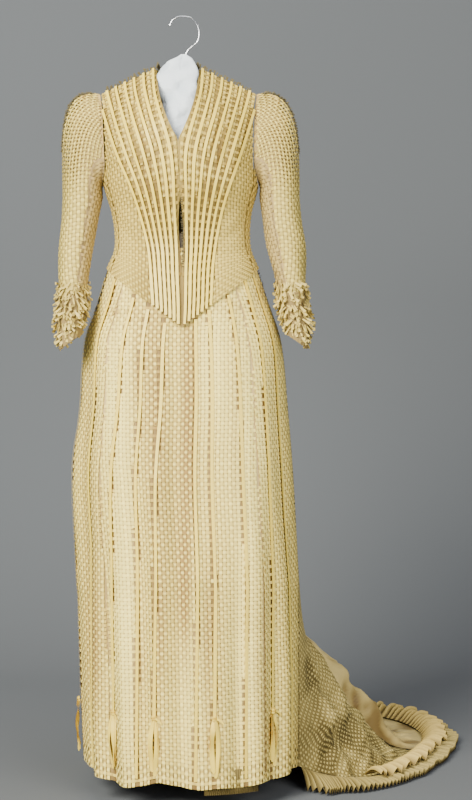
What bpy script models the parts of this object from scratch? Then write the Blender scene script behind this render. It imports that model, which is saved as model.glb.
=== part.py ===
# Afternoon dress of ribbon-woven net: a pointed bodice and a skirt with a swept train,
# hung on a padded hanger.
# Metres, +Z up, front towards -Y. The origin is inside the top of the hanger's hook.
# "left" and "right" are as seen from the front, so left is -X. A drop is a distance below the origin.
import math

import bpy
import numpy as np

WALL = 0.002  # cloth panels
RIBBON = 0.001  # ribbon and frill cloth
SEAM = 0.0003  # half of the space between two panels at a seam
TRAIN_SEAM = 0.0008  # the same in the train, whose folds turn sharply at the seams
CLEAR = 0.0008  # from a bodice panel's face to the ribbon on it
SKIRT_CLEAR = 0.0011  # the same on the skirt
FLOOR = 1.458  # drop of the floor
ROUND = 2.2  # 2 would make the sections ellipses
SIDE_SHARE = 0.925  # of the half width, where the side panels begin
SHOULDER_RISE = 0.135  # height over which the chest narrows to the shoulder seam
SHOULDER_SEAM = 0.0011  # half of the space left along the shoulder seam
NECK_X, NECK_DROP = 0.0415, 0.0945
ARM_TOP, ARM_LOW = 0.1425, 0.315  # drops of the armhole's top and bottom
SHOULDER_SLOPE, NECK_SLOPE = 0.466, 0.8  # along the seam, and on inside the neck
UNDER = -0.005  # how far inside the bodice's form the skirt hangs
SKIRT_TOP, KNEE, HEM_RISE = 0.431, 1.050, 0.046
KNEE_SHARE = 0.62  # of the skirt's length, above the knee
UPPER_DROPS = (0.431, 0.455, 0.4765, 0.510, 0.545, 0.600, 0.690, 0.800, 0.920)  # rows down to the knee
LOWER_ROWS = 7
RIBBON_WIDTH = 0.0066
FRILL_DEEP, RUCHE_DEEP = 0.070, 0.046
PLEATS, RUCHES, CUFF_WAVES, FRONT_PLEATS = 66, 30, 20, 22
FRILL_END = 0.80  # of the train's hem, behind the skirt, where both frills end
HOOK_WIRE = 0.0014


def table(names, *rows):
    return dict(zip(names.split(), np.array(rows, float).T))


# The garment's half width and depths at each height, as bodice and, 5 mm inside it, as skirt.
FORM = table(
    "drop width front back shift",
    (0.090, 0.155, 0.104, 0.094, -0.006),
    (0.230, 0.153, 0.112, 0.098, -0.003),
    (0.270, 0.149, 0.113, 0.097, -0.002),
    (0.315, 0.1445, 0.110, 0.094, 0.000),
    (0.367, 0.1305, 0.098, 0.088, 0.001),
    (0.401, 0.1266, 0.094, 0.088, 0.002),
    (0.435, 0.1286, 0.097, 0.096, 0.003),
    (0.469, 0.143, 0.108, 0.112, 0.003),
    (0.538, 0.1665, 0.124, 0.150, 0.004),
    (0.595, 0.187, 0.137, 0.178, 0.003),
    (0.652, 0.1948, 0.146, 0.195, 0.004),
    (0.709, 0.1985, 0.154, 0.205, 0.005),
    (0.828, 0.2095, 0.168, 0.215, 0.004),
    (1.013, 0.212, 0.184, 0.225, 0.0125),
    (1.184, 0.214, 0.194, 0.235, 0.019),
    (1.412, 0.206, 0.200, 0.240, 0.020),
)
# How far out the armhole's edge lies, as a share of the half width.
ARMHOLE = table(
    "drop share",
    (0.1425, 0.935),
    (0.168, 0.911),
    (0.200, 0.901),
    (0.232, 0.904),
    (0.258, 0.915),
    (0.275, 0.925),
    (0.293, 0.955),
    (0.305, 0.981),
    (0.312, 0.996),
    (0.315, 1.000),
)
# The rows of the front: V neck, closed breast, open slit, closed waist and pointed basque.
FRONT_ROWS = table(
    "inner_x inner_drop outer_drop",
    (0.0415, 0.0945, 0.1425),
    (0.0385, 0.120, 0.168),
    (0.0320, 0.155, 0.200),
    (0.0220, 0.186, 0.232),
    (0.0100, 0.214, 0.258),
    (0.0003, 0.236, 0.275),
    (0.0003, 0.285, 0.315),
    (0.0003, 0.332, 0.352),
    (0.0036, 0.370, 0.385),
    (0.0042, 0.405, 0.410),
    (0.0026, 0.438, 0.432),
    (0.0003, 0.470, 0.448),
    (0.0003, 0.520, 0.462),
    (0.0003, 0.574, 0.4765),
)
BACK_ROWS = table(
    "inner_x inner_drop outer_drop",
    (0.0415, 0.0945, 0.1425),
    (0.0260, 0.105, 0.168),
    (0.0006, 0.114, 0.200),
    (0.0006, 0.160, 0.232),
    (0.0006, 0.210, 0.258),
    (0.0006, 0.250, 0.275),
    (0.0006, 0.300, 0.315),
    (0.0006, 0.345, 0.352),
    (0.0006, 0.385, 0.385),
    (0.0006, 0.412, 0.410),
    (0.0006, 0.438, 0.432),
    (0.0006, 0.462, 0.448),
    (0.0006, 0.482, 0.462),
    (0.0006, 0.500, 0.4765),
)
# The side panel's rows at its front seam, and how far each dips between its seams.
SIDE_ROWS = table(
    "drop dip",
    (0.275, 0.040),
    (0.315, 0.016),
    (0.352, 0.005),
    (0.385, 0.000),
    (0.410, 0.000),
    (0.432, 0.000),
    (0.448, 0.000),
    (0.462, -0.004),
    (0.4765, -0.0075),
)
# Where the first and the last of a front's ribbons run, from the centre front.
FAN = table(
    "drop first last",
    (0.090, 0.046, 0.160),
    (0.142, 0.042, 0.150),
    (0.175, 0.034, 0.1400),
    (0.251, 0.0145, 0.1150),
    (0.346, 0.0110, 0.0800),
    (0.422, 0.0095, 0.0620),
    (0.536, 0.0065, 0.0525),
    (0.580, 0.0055, 0.0500),
)
FAN_RIBBONS = 7
# The sleeves hang a little forward, the left one more.
SLEEVE_ROWS = {
    -1: table(
        "drop x half_width y half_depth",
        (0.335, 0.1845, 0.0370, -0.004, 0.052),
        (0.367, 0.1880, 0.0345, -0.010, 0.050),
        (0.424, 0.1950, 0.0315, -0.026, 0.046),
        (0.481, 0.1990, 0.0280, -0.048, 0.040),
        (0.538, 0.2000, 0.0225, -0.070, 0.032),
        (0.580, 0.2040, 0.0210, -0.084, 0.030),
        (0.640, 0.2000, 0.0150, -0.098, 0.026),
    ),
    1: table(
        "drop x half_width y half_depth",
        (0.335, 0.1845, 0.0370, -0.004, 0.052),
        (0.367, 0.1880, 0.0360, -0.008, 0.050),
        (0.424, 0.1965, 0.0360, -0.018, 0.046),
        (0.481, 0.2040, 0.0290, -0.030, 0.040),
        (0.538, 0.2090, 0.0225, -0.042, 0.032),
        (0.580, 0.2180, 0.0210, -0.052, 0.030),
        (0.640, 0.2120, 0.0150, -0.062, 0.026),
    ),
}
HEAD_STEPS = (0, 0.08, 0.18, 0.32, 0.50, 0.74, 1)
SLEEVE_SEAM = 115  # degrees from the sleeve's outer side to its two seams
# The train's hem on the floor, by the angle round the skirt: 0 front, 90 right, 180 back.
TRAIN = table(
    "angle x y rise",
    (84, 0.222, -0.025, 0.046),
    (93, 0.270, -0.004, 0.026),
    (102, 0.325, 0.014, 0.014),
    (112, 0.375, 0.055, 0.009),
    (122, 0.420, 0.135, 0.008),
    (132, 0.455, 0.220, 0.008),
    (143, 0.488, 0.330, 0.008),
    (155, 0.490, 0.440, 0.008),
    (167, 0.448, 0.545, 0.008),
    (180, 0.355, 0.615, 0.008),
    (195, 0.210, 0.625, 0.008),
    (210, 0.055, 0.545, 0.008),
    (225, -0.070, 0.410, 0.008),
    (238, -0.150, 0.265, 0.010),
    (250, -0.182, 0.140, 0.024),
    (260, -0.183, 0.048, 0.046),
)
# Soft folds of the skirt: a ridge has a height above 0, a trough one below 0.
FOLDS = table(
    "angle spread height first last",
    (-85, 12, 0.005, 0.34, 0.66),
    (-65, 9, -0.010, 0.12, 0.85),
    (-12, 8, -0.006, 0.12, 0.42),
    (5, 7, -0.012, 0.10, 0.60),
    (33, 8, 0.005, 0.10, 0.70),
    (62, 9, -0.006, 0.20, 0.80),
    (100, 5, 0.014, 0.68, 0.98),
    (117, 6, 0.034, 0.66, 0.96),
    (131, 5, 0.018, 0.70, 0.97),
    (146, 6, 0.040, 0.55, 0.93),
    (157, 5, -0.022, 0.00, 0.62),
    (163, 5, 0.030, 0.62, 0.96),
    (170, 5, -0.024, 0.00, 0.66),
    (183, 5, -0.024, 0.00, 0.66),
    (188, 6, 0.034, 0.62, 0.96),
    (196, 5, -0.024, 0.00, 0.66),
    (209, 5, -0.022, 0.00, 0.62),
    (206, 5, 0.026, 0.62, 0.95),
    (224, 6, 0.020, 0.60, 0.95),
)
# The skirt's panels: name, angles from and to at the waist, the same at the hem, columns.
# Each satin panel is joined across at the knee, to a panel of the train below.
SKIRT_PANELS = {
    "skirt_side_left": (-100, -46, -100, -46, 8),
    "skirt_front": (-46, 40, -46, 40, 13),
    "skirt_side_right": (40, 84, 40, 84, 6),
    "train_net_right": (84, 114, 84, 138, 12),
    "train_satin_right": (114, 176, 138, 176, 7),
    "train_satin_left": (176, 214, 176, 214, 6),
    "train_net_left": (214, 260, 214, 260, 8),
}
# The skirt's ribbons: angles at the waist and at the lower end, and the length of the
# knotted loop that some end in.
SKIRT_RIBBONS = table(
    "top low loop",
    (-80, -86, 0.100),
    (-56, -60, 0),
    (-31, -43, 0.104),
    (-19, -27, 0),
    (-7, -16, 0.108),
    (8, 2, 0),
    (16, 11, 0.110),
    (31, 28, 0),
    (50, 48, 0.104),
    (64, 64, 0),
)
BASQUE_POINT = 0.574
LOOP_KNOT, RIBBON_END = 1.282, 1.396  # drops of the knots and of the plain ribbons' ends
# The white padding that fills the neck: a folded lobe on top, a wedge behind the V below.
PADDING = table(
    "drop left right front back",
    (0.070, 0.000, 0.010, -0.018, -0.0125),
    (0.078, -0.016, 0.021, -0.025, -0.011),
    (0.090, -0.034, 0.029, -0.029, -0.0105),
    (0.103, -0.041, 0.031, -0.0325, -0.0091),
    (0.118, -0.037, 0.033, -0.0355, -0.0092),
    (0.140, -0.036, 0.034, -0.0455, -0.014),
    (0.170, -0.034, 0.032, -0.0625, -0.020),
    (0.200, -0.028, 0.026, -0.0778, -0.034),
    (0.230, -0.018, 0.016, -0.0875, -0.056),
    (0.250, -0.009, 0.007, -0.0895, -0.072),
)
HOOK_ROUTE = (  # x, drop
    (-0.021, 0.0150), (-0.0150, 0.0045), (-0.0050, -0.0008), (0.0060, -0.0014),
    (0.0175, 0.0005), (0.0270, 0.0090), (0.0325, 0.0210), (0.0335, 0.0340),
    (0.0305, 0.0450), (0.0210, 0.0540), (0.0125, 0.0620), (0.0080, 0.0720), (0.0040, 0.0958),
)  # fmt: skip
BAR_ROUTE = ((-0.128, 0.1565), (-0.085, 0.1352), (-0.040, 0.1148), (0.000, 0.1046),
             (0.040, 0.1148), (0.085, 0.1352), (0.128, 0.1565))  # fmt: skip
BAR_RADIUS = 0.0085

COLOURS = {  # base colour, roughness, metallic
    "net": ((0.79, 0.70, 0.48), 0.75, 0),
    "net_under": ((0.60, 0.50, 0.31), 0.80, 0),
    "ribbon": ((0.84, 0.73, 0.42), 0.45, 0),
    "satin": ((0.68, 0.58, 0.38), 0.38, 0),
    "frill": ((0.64, 0.56, 0.36), 0.75, 0),
    "white_cloth": ((0.86, 0.88, 0.90), 0.80, 0),
    "chrome": ((0.80, 0.80, 0.82), 0.20, 1),
}

for old in list(bpy.data.objects):
    bpy.data.objects.remove(old, do_unlink=True)
dress = bpy.data.collections.new("afternoon_dress")
bpy.context.scene.collection.children.link(dress)
materials = {}
for slot, (colour, rough, metal) in COLOURS.items():
    material = bpy.data.materials.new(slot)
    material.use_nodes = True
    shader = material.node_tree.nodes["Principled BSDF"]
    shader.inputs["Base Color"].default_value = (*colour, 1)
    shader.inputs["Roughness"].default_value = rough
    shader.inputs["Metallic"].default_value = metal
    materials[slot] = material


# Reads a table's column smoothly between its rows.
def smooth(rows, by, name, at):
    x, y = rows[by], rows[name]
    at = np.clip(at, x[0], x[-1])
    slope = np.gradient(y, x)
    i = np.clip(np.searchsorted(x, at, side="right") - 1, 0, len(x) - 2)
    step = x[i + 1] - x[i]
    s = (at - x[i]) / step
    return (
        (2 * s**3 - 3 * s**2 + 1) * y[i]
        + (s**3 - 2 * s**2 + s) * step * slope[i]
        + (3 * s**2 - 2 * s**3) * y[i + 1]
        + (s**3 - s**2) * step * slope[i + 1]
    )


def ease(t):
    t = np.clip(t, 0, 1)
    return t * t * (3 - 2 * t)


def unit(v):
    return v / np.maximum(np.linalg.norm(v, axis=-1, keepdims=True), 1e-12)


# Directions square to a grid of points, away from the side that "towards" lies on.
def normals(grid, inside):
    down, across = np.gradient(grid, axis=0), np.gradient(grid, axis=1)
    n = unit(np.cross(down, across))
    flip = np.sum(n * (grid - inside)) < 0
    return -n if flip else n


def solid_of(name, mesh, slot):
    mesh.materials.append(materials[slot])
    ob = bpy.data.objects.new(name, mesh)
    dress.objects.link(ob)
    return ob


# A piece of cloth: the grid's open surface, thickened to both sides.
def cloth(name, grid, slot, wall=WALL):
    rows, columns = grid.shape[:2]
    faces = [
        (r * columns + c, (r + 1) * columns + c, (r + 1) * columns + c + 1, r * columns + c + 1)
        for r in range(rows - 1)
        for c in range(columns - 1)
    ]
    mesh = bpy.data.meshes.new(name)
    mesh.from_pydata(grid.reshape(-1, 3).tolist(), [], faces)
    mesh.shade_smooth()
    ob = solid_of(name, mesh, slot)
    shell = ob.modifiers.new("wall", "SOLIDIFY")
    shell.thickness = wall
    shell.offset = 0
    return ob


# Draws the named edges of a grid in by the seam's space.
def trimmed(grid, edges, space=SEAM):
    grid = grid.copy()
    if "first" in edges:
        grid[:, 0] += unit(grid[:, 1] - grid[:, 0]) * space
    if "last" in edges:
        grid[:, -1] += unit(grid[:, -2] - grid[:, -1]) * space
    if "top" in edges:
        grid[0] += unit(grid[1] - grid[0]) * space
    if "low" in edges:
        grid[-1] += unit(grid[-2] - grid[-1]) * space
    return grid


# Reads a grid between its points: row and column may be fractions.
def between(grid, row, column):
    r = np.clip(np.floor(row).astype(int), 0, grid.shape[0] - 2)
    c = np.clip(np.floor(column).astype(int), 0, grid.shape[1] - 2)
    s, t = (row - r)[..., None], (column - c)[..., None]
    return (1 - s) * ((1 - t) * grid[r, c] + t * grid[r, c + 1]) + s * (
        (1 - t) * grid[r + 1, c] + t * grid[r + 1, c + 1]
    )


# A point of the closed form at an angle round it: 0 front, 90 right, 180 back.
def round_form(angle, drop, lift=0.0):
    a = np.radians(angle)
    depth = np.where(np.cos(a) > 0, smooth(FORM, "drop", "front", drop), smooth(FORM, "drop", "back", drop))
    x = (smooth(FORM, "drop", "width", drop) + lift) * np.sign(np.sin(a)) * np.abs(np.sin(a)) ** (2 / ROUND)
    y = -(depth + lift) * np.sign(np.cos(a)) * np.abs(np.cos(a)) ** (2 / ROUND)
    return np.stack([x + smooth(FORM, "drop", "shift", drop), y, -drop + 0 * x], axis=-1)


# A point of the bodice's front (facing -1) or back (facing 1), x from its centre line.
def bodice(x, drop, facing, lift=0.0):
    x, drop = np.broadcast_arrays(np.asarray(x, float), np.asarray(drop, float))
    depth = smooth(FORM, "drop", "front" if facing < 0 else "back", drop)
    share = np.clip(np.abs(x) / smooth(FORM, "drop", "width", drop), 0, 1)
    along = np.abs(x) - NECK_X
    seam = NECK_DROP + along * np.where(along < 0, NECK_SLOPE, SHOULDER_SLOPE)
    below = np.clip((drop - seam) / SHOULDER_RISE, 0, 1)
    y = (depth + lift) * (1 - share**ROUND) ** (1 / ROUND) * (1 - (1 - below) ** 1.9)
    y = y + SHOULDER_SEAM * (1 - below) ** 3
    return np.stack([x + smooth(FORM, "drop", "shift", drop), facing * y, -drop], axis=-1)


def armhole_share(drop):
    return np.where(drop < 0.2751, smooth(ARMHOLE, "drop", "share", drop), SIDE_SHARE)


def bodice_panel(rows, side, facing, columns):
    share = np.linspace(0, 1, columns + 1)
    outer_x = armhole_share(rows["outer_drop"]) * smooth(FORM, "drop", "width", rows["outer_drop"])
    x = rows["inner_x"][:, None] * (1 - share) + outer_x[:, None] * share
    drop = rows["inner_drop"][:, None] * (1 - share) + rows["outer_drop"][:, None] * share
    return bodice(side * x, drop, facing)


def bodice_side(side, columns):
    edge = math.degrees(math.asin(SIDE_SHARE ** (ROUND / 2)))
    angle = np.linspace(edge, 180 - edge, columns + 1)
    middle = 1 - ((angle - 90) / (90 - edge)) ** 2
    drop = SIDE_ROWS["drop"][:, None] + SIDE_ROWS["dip"][:, None] * middle
    return round_form(side * angle, drop)


# The ribbons that fan from a shoulder to the basque's point, each laid on the front's own rows.
def fan_ribbons(side, front):
    label = "left" if side < 0 else "right"
    out = normals(front, np.array([0, 0, -0.3]))
    rows, columns = front.shape[:2]
    for k in range(FAN_RIBBONS):
        share = k / (FAN_RIBBONS - 1)
        places = []
        for r in range(rows):
            reach = np.abs(front[r, :, 0] - smooth(FORM, "drop", "shift", -front[r, :, 2]))
            want = smooth(FAN, "drop", "first", -front[r, :, 2]) * (1 - share)
            want = want + smooth(FAN, "drop", "last", -front[r, :, 2]) * share
            c = float(np.interp(0, reach - want, np.arange(columns)))
            width = abs(reach[-1] - reach[0]) / (columns - 1)
            half = RIBBON_WIDTH / 2 / width * (0.86 if r == rows - 1 else 1)
            if half + 0.05 < c < columns - 1 - half - 0.05:
                places.append((float(r), c, half))
        row, c, half = np.array(places).T
        row[-1] = min(row[-1], rows - 1.04)
        row[0] = max(row[0], 0.06)
        edges = np.stack([c - half, c + half], axis=1)
        at = np.repeat(row[:, None], 2, axis=1)
        lift = WALL / 2 + CLEAR + RIBBON / 2
        grid = between(front, at, edges) + unit(between(out, at, edges)) * lift
        cloth(f"fan_ribbon_{label}_{k + 1}", grid, "ribbon", RIBBON)


# The armhole's edge at an angle: 0 top, 90 front, 180 under the arm.
def armhole(side, angle):
    a = np.radians(angle)
    middle, half = (ARM_TOP + ARM_LOW) / 2, (ARM_LOW - ARM_TOP) / 2
    drop = middle - half * np.cos(a)
    x = smooth(ARMHOLE, "drop", "share", drop) * smooth(FORM, "drop", "width", drop)
    points = np.where((np.sin(a) > 0)[..., None], bodice(side * x, drop, -1), bodice(side * x, drop, 1))
    points[..., 0] += side * 0.0016
    return points


def sleeve_ring(side, angle, drop, lift=0.0):
    rows, a = SLEEVE_ROWS[side], np.radians(angle)
    x = smooth(rows, "drop", "x", drop) + (smooth(rows, "drop", "half_width", drop) + lift) * np.cos(a)
    y = smooth(rows, "drop", "y", drop) - (smooth(rows, "drop", "half_depth", drop) + lift) * np.sin(a)
    return np.stack([side * x, y, -drop + 0 * x], axis=-1)


def sleeve(side, first, last, columns, gathers=0.0):
    angle = np.linspace(first, last, columns + 1)
    start, end = armhole(side, angle), sleeve_ring(side, angle, SLEEVE_ROWS[side]["drop"][0])
    top = ((1 + np.cos(np.radians(angle))) / 2)[:, None]
    leave = np.array([side * 1.0, 0, 0.2]) * (0.012 + 0.238 * top)
    arrive = np.array([0, 0, -1.0]) * (0.02 + 0.28 * top)
    rows = []
    for s in HEAD_STEPS:
        rows.append(
            (2 * s**3 - 3 * s**2 + 1) * start + (s**3 - 2 * s**2 + s) * leave
            + (3 * s**2 - 2 * s**3) * end + (s**3 - s**2) * arrive
        )  # fmt: skip
    for drop in SLEEVE_ROWS[side]["drop"][1:-1]:
        rows.append(sleeve_ring(side, angle, drop))
    grid = np.array(rows)
    out = normals(grid, np.array([side * 0.18, 0, -0.35]))
    for r, s in enumerate(HEAD_STEPS):
        wave = gathers * math.sin(math.pi * min(1, s / 0.7)) * np.where(np.arange(columns + 1) % 2, 1, -1)
        grid[r] += out[r] * (wave[:, None] * top)
    return trimmed(grid, ("first", "last"))


# The cuff's frill: loose loops of net round the wrist, cut lower on the outer side.
def cuff_frill(side):
    columns = 2 * CUFF_WAVES
    angle = np.linspace(0, 360, columns + 1)[:-1]
    zigzag = np.where(np.arange(columns) % 2, 1, -1)
    outer = np.cos(np.radians(angle))
    rows = []
    for drop, slant, lift, wave, inward in (
        (0.512, 0.000, 0.0026, 0.0000, 0.000),
        (0.540, 0.004, 0.0110, 0.0022, 0.005),
        (0.575, 0.010, 0.0115, 0.0034, 0.003),
        (0.612, 0.018, 0.0070, 0.0042, 0.000),
    ):
        ring = sleeve_ring(side, angle, drop + slant * outer, lift)
        out = unit(ring - sleeve_ring(side, angle, drop + slant * outer, -0.008))
        ring = ring + out * (wave * zigzag)[:, None]
        ring[:, 0] -= side * inward
        rows.append(ring)
    return np.array(rows)


def closed_cloth(name, grid, slot, wall):
    rows, columns = grid.shape[:2]
    faces = [
        (r * columns + c, (r + 1) * columns + c,
         (r + 1) * columns + (c + 1) % columns, r * columns + (c + 1) % columns)
        for r in range(rows - 1)
        for c in range(columns)
    ]
    mesh = bpy.data.meshes.new(name)
    mesh.from_pydata(grid.reshape(-1, 3).tolist(), [], faces)
    mesh.shade_smooth()
    shell = solid_of(name, mesh, slot).modifiers.new("wall", "SOLIDIFY")
    shell.thickness = wall
    shell.offset = 0


def hem_point(angle):
    ring = round_form(angle, FLOOR - HEM_RISE, UNDER)
    train = np.stack(
        [smooth(TRAIN, "angle", "x", angle), smooth(TRAIN, "angle", "y", angle),
         smooth(TRAIN, "angle", "rise", angle) - FLOOR], axis=-1)  # fmt: skip
    return np.where((angle > TRAIN["angle"][0])[..., None], train, ring)


# The skirt at an angle and a share of its length, straight down in front and swept over the floor behind.
def skirt(angle, share):
    angle, share = np.broadcast_arrays(np.asarray(angle, float), np.asarray(share, float))
    drop = SKIRT_TOP + (KNEE - SKIRT_TOP) * np.clip(share / KNEE_SHARE, 0, 1)
    upper = round_form(angle, drop, UNDER)
    hem = hem_point(angle)
    knee = round_form(angle, np.full_like(angle, KNEE), UNDER)
    s = np.clip((share - KNEE_SHARE) / (1 - KNEE_SHARE), 0, 1)
    swept = ease(np.linalg.norm((hem - knee)[..., :2], axis=-1) / 0.15)
    across = s * (1 - swept) + s * ease(s / 0.35) * swept
    fallen = s + swept * (s - s * s)
    lower = np.concatenate(
        [knee[..., :2] + (hem - knee)[..., :2] * across[..., None],
         (knee + (hem - knee) * fallen[..., None])[..., 2:]],
        axis=-1,
    )
    return np.where((share < KNEE_SHARE)[..., None], upper, lower)


def fold_height(angle, share):
    height = np.zeros_like(angle)
    for a, spread, depth, first, last in zip(*FOLDS.values()):
        middle = np.clip((share - first) / (last - first), 0, 1)
        height = height + depth * np.exp(-(((angle - a) / spread) ** 2)) * np.sin(math.pi * middle) ** 0.7
    return height


def skirt_panel(top_first, top_last, low_first, low_last, columns):
    upper = (np.array(UPPER_DROPS) - SKIRT_TOP) / (KNEE - SKIRT_TOP) * KNEE_SHARE
    share = np.concatenate([upper, np.linspace(KNEE_SHARE, 1, LOWER_ROWS)])
    across, share = np.meshgrid(np.linspace(0, 1, columns + 1), share)
    lower = ease(share)
    first, last = top_first + (low_first - top_first) * lower, top_last + (low_last - top_last) * lower
    angle = first + (last - first) * across
    flat = skirt(angle, share)
    down = skirt(angle, share + 0.004) - skirt(angle, share - 0.004)
    across = skirt(angle + 0.5, share) - skirt(angle - 0.5, share)
    out = unit(np.cross(down, across))
    grid = flat + out * fold_height(angle, share)[..., None]
    grid[..., 2] = np.maximum(grid[..., 2], 0.0012 - FLOOR)
    return grid, out


def skirt_ribbons(panels):
    lift = WALL / 2 + SKIRT_CLEAR + RIBBON / 2
    for k, (top, low, loop) in enumerate(zip(*SKIRT_RIBBONS.values())):
        end = LOOP_KNOT if loop else RIBBON_END
        for name, (first, last, _, _, columns) in SKIRT_PANELS.items():
            if first < low < last and first < top < last:
                break
        grid, out = panels[name]
        drops = -grid[:, columns // 2, 2]
        reach = abs(float(round_form(np.array(top), np.array(0.5))[0]))
        start = BASQUE_POINT + 0.008 - reach * (BASQUE_POINT - SIDE_ROWS["drop"][-1]) / 0.132
        first_row = float(np.interp(max(start, 0.486), drops, np.arange(len(drops))))
        places = []
        for r in (first_row, *range(math.ceil(first_row + 0.2), len(drops))):
            drop = float(np.interp(r, np.arange(len(drops)), drops))
            if drop > end:
                continue
            share = (drop - SKIRT_TOP) / (end - SKIRT_TOP)
            column = (top + (low - top) * share - first) / (last - first) * columns
            width = np.linalg.norm(grid[int(r), 1] - grid[int(r), 0])
            places.append((float(r), column, RIBBON_WIDTH / 2 / width))
        row, column, half = np.array(places).T
        edges = np.stack([column - half, column + half], axis=1)
        at = np.repeat(row[:, None], 2, axis=1)
        ribbon = between(grid, at, edges) + unit(between(out, at, edges)) * lift
        if loop:
            ribbon = np.concatenate([ribbon, hanging_loop(ribbon[-2:], loop)])
        cloth(f"skirt_ribbon_{k + 1}", ribbon, "ribbon", RIBBON)


# The loop below a ribbon's knot: down on one side, round, and up in front of it on the other.
def hanging_loop(last, length):
    low = last[1]
    across = unit(low[1] - low[0])
    front = unit(np.cross(across, np.array([0, 0, 1.0])))
    front = front if front[1] < 0 else -front
    middle = low.mean(axis=0)
    rows = []
    for sideways, down, forward in (
        (-0.004, 0.16, 0.0014), (-0.007, 0.45, 0.0022), (-0.006, 0.80, 0.0030), (-0.002, 0.97, 0.0040),
        (0.001, 1.00, 0.0062), (0.004, 0.95, 0.0084), (0.007, 0.75, 0.0090), (0.007, 0.40, 0.0076),
        (0.002, 0.02, 0.0048),
    ):  # fmt: skip
        at = middle + across * sideways + front * forward + np.array([0, 0, -1.0]) * (down * length)
        rows.append([at - across * RIBBON_WIDTH / 2, at + across * RIBBON_WIDTH / 2])
    return np.array(rows)


# The train's two frills follow its hem: knife pleats on the floor, and a looser ruched one above them.
def train_frills(panels):
    hem = np.concatenate([panels[n][0][-1] for n in SKIRT_PANELS if n.startswith("train")])
    hem = hem[np.concatenate([[True], np.linalg.norm(np.diff(hem, axis=0), axis=1) > 1e-3])]
    along = np.concatenate([[0], np.cumsum(np.linalg.norm(np.diff(hem, axis=0), axis=1))])
    up = np.array([0, 0, 1.0])

    # Points along the hem, the way out from it over the floor, and how near they are to the frill's ends.
    def edge(count, first=0.004, last=FRILL_END):
        at = np.linspace(first, last, count) * along[-1]
        line = np.stack([np.interp(at, along, hem[:, k]) for k in range(3)], axis=1)
        way = np.gradient(line, axis=0)
        for _ in range(count // 12):
            way[1:-1] = (way[:-2] + way[1:-1] + way[2:]) / 3
        out = unit(np.stack([way[:, 1], -way[:, 0], 0 * way[:, 0]], axis=1))
        ends = ease(np.minimum(np.arange(count), np.arange(count)[::-1]) / (count / 50))
        return line, out, ends[:, None]

    line, out, ends = edge(2 * PLEATS + 1)
    zigzag = np.where(np.arange(len(line)) % 2, 1, -1)[:, None]
    floor = line * (1, 1, 0) - up * FLOOR
    start = line + out * 0.0021
    tip = floor + out * (FRILL_DEEP * (0.45 + 0.55 * ends)) + up * (0.0095 + 0.0058 * zigzag)
    middle = (start + tip) / 2 + up * (0.0034 * zigzag)
    middle[:, 2] = np.maximum(middle[:, 2], 0.0045 - FLOOR + 0.0034 * (1 + zigzag[:, 0]))
    cloth("train_frill_pleated", np.array([start, middle, tip]), "frill", RIBBON)

    line, out, ends = edge(3 * RUCHES + 1, 0.085, FRILL_END - 0.01)
    wave = np.cos(np.arange(len(line)) * 2 * math.pi / 3)[:, None]
    scallop = 0.93 + 0.07 * np.sin(np.arange(len(line)) * 1.7)[:, None]
    start = line + out * 0.0002 + up * (WALL / 2 + 0.0024)
    rise = np.maximum(line[:, 2:], 0.010 - FLOOR) + 0.0135 + 0.0040 * wave
    middle = line * (1, 1, 0) + out * 0.014 + up * rise
    tip = line * (1, 1, 0) + out * RUCHE_DEEP * scallop + up * (0.0310 + 0.0065 * wave - FLOOR)
    cloth("train_frill_ruched", np.array([start, middle, tip]), "net", RIBBON)


def front_frill():
    count = 2 * FRONT_PLEATS + 1
    angle = np.linspace(6, 38, count)
    zigzag = np.where(np.arange(count) % 2, 1, -1)
    rows = [
        round_form(angle, np.full(count, FLOOR - HEM_RISE - 0.030), UNDER - 0.0030),
        round_form(angle, np.full(count, FLOOR - HEM_RISE + 0.016), UNDER - 0.0065),
    ]
    rows[1][:, 1] += 0.0030 * zigzag
    cloth("front_under_frill", np.array(rows), "frill", RIBBON)


def neck_edging():
    count = 25
    x = np.linspace(-1, 1, count)
    drop = np.interp(np.abs(x) * NECK_X, [0, 0.026, NECK_X], [0.114, 0.105, 0.0945])
    base = bodice(x * NECK_X * 0.98, drop, 1)
    zigzag = np.where(np.arange(count) % 2, 1, -1)
    up = np.array([0, 0, 1.0])
    low = base + up * (WALL / 2 + 0.0006)
    top = low + up * 0.0095
    top[:, 1] += 0.0016 * zigzag + 0.002
    cloth("neck_edging", np.array([low, top]), "frill", 0.0014)


def wire(name, route, radius, slot, sides):
    curve = bpy.data.curves.new(name, "CURVE")
    curve.dimensions = "3D"
    curve.bevel_depth = radius
    curve.bevel_resolution = sides
    curve.use_fill_caps = True
    curve.resolution_u = 3
    spline = curve.splines.new("BEZIER")
    spline.bezier_points.add(len(route) - 1)
    for point, (x, drop) in zip(spline.bezier_points, route):
        point.co = (x, 0, -drop)
        point.handle_left_type = point.handle_right_type = "AUTO"
    return solid_of(name, curve, slot)


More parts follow.
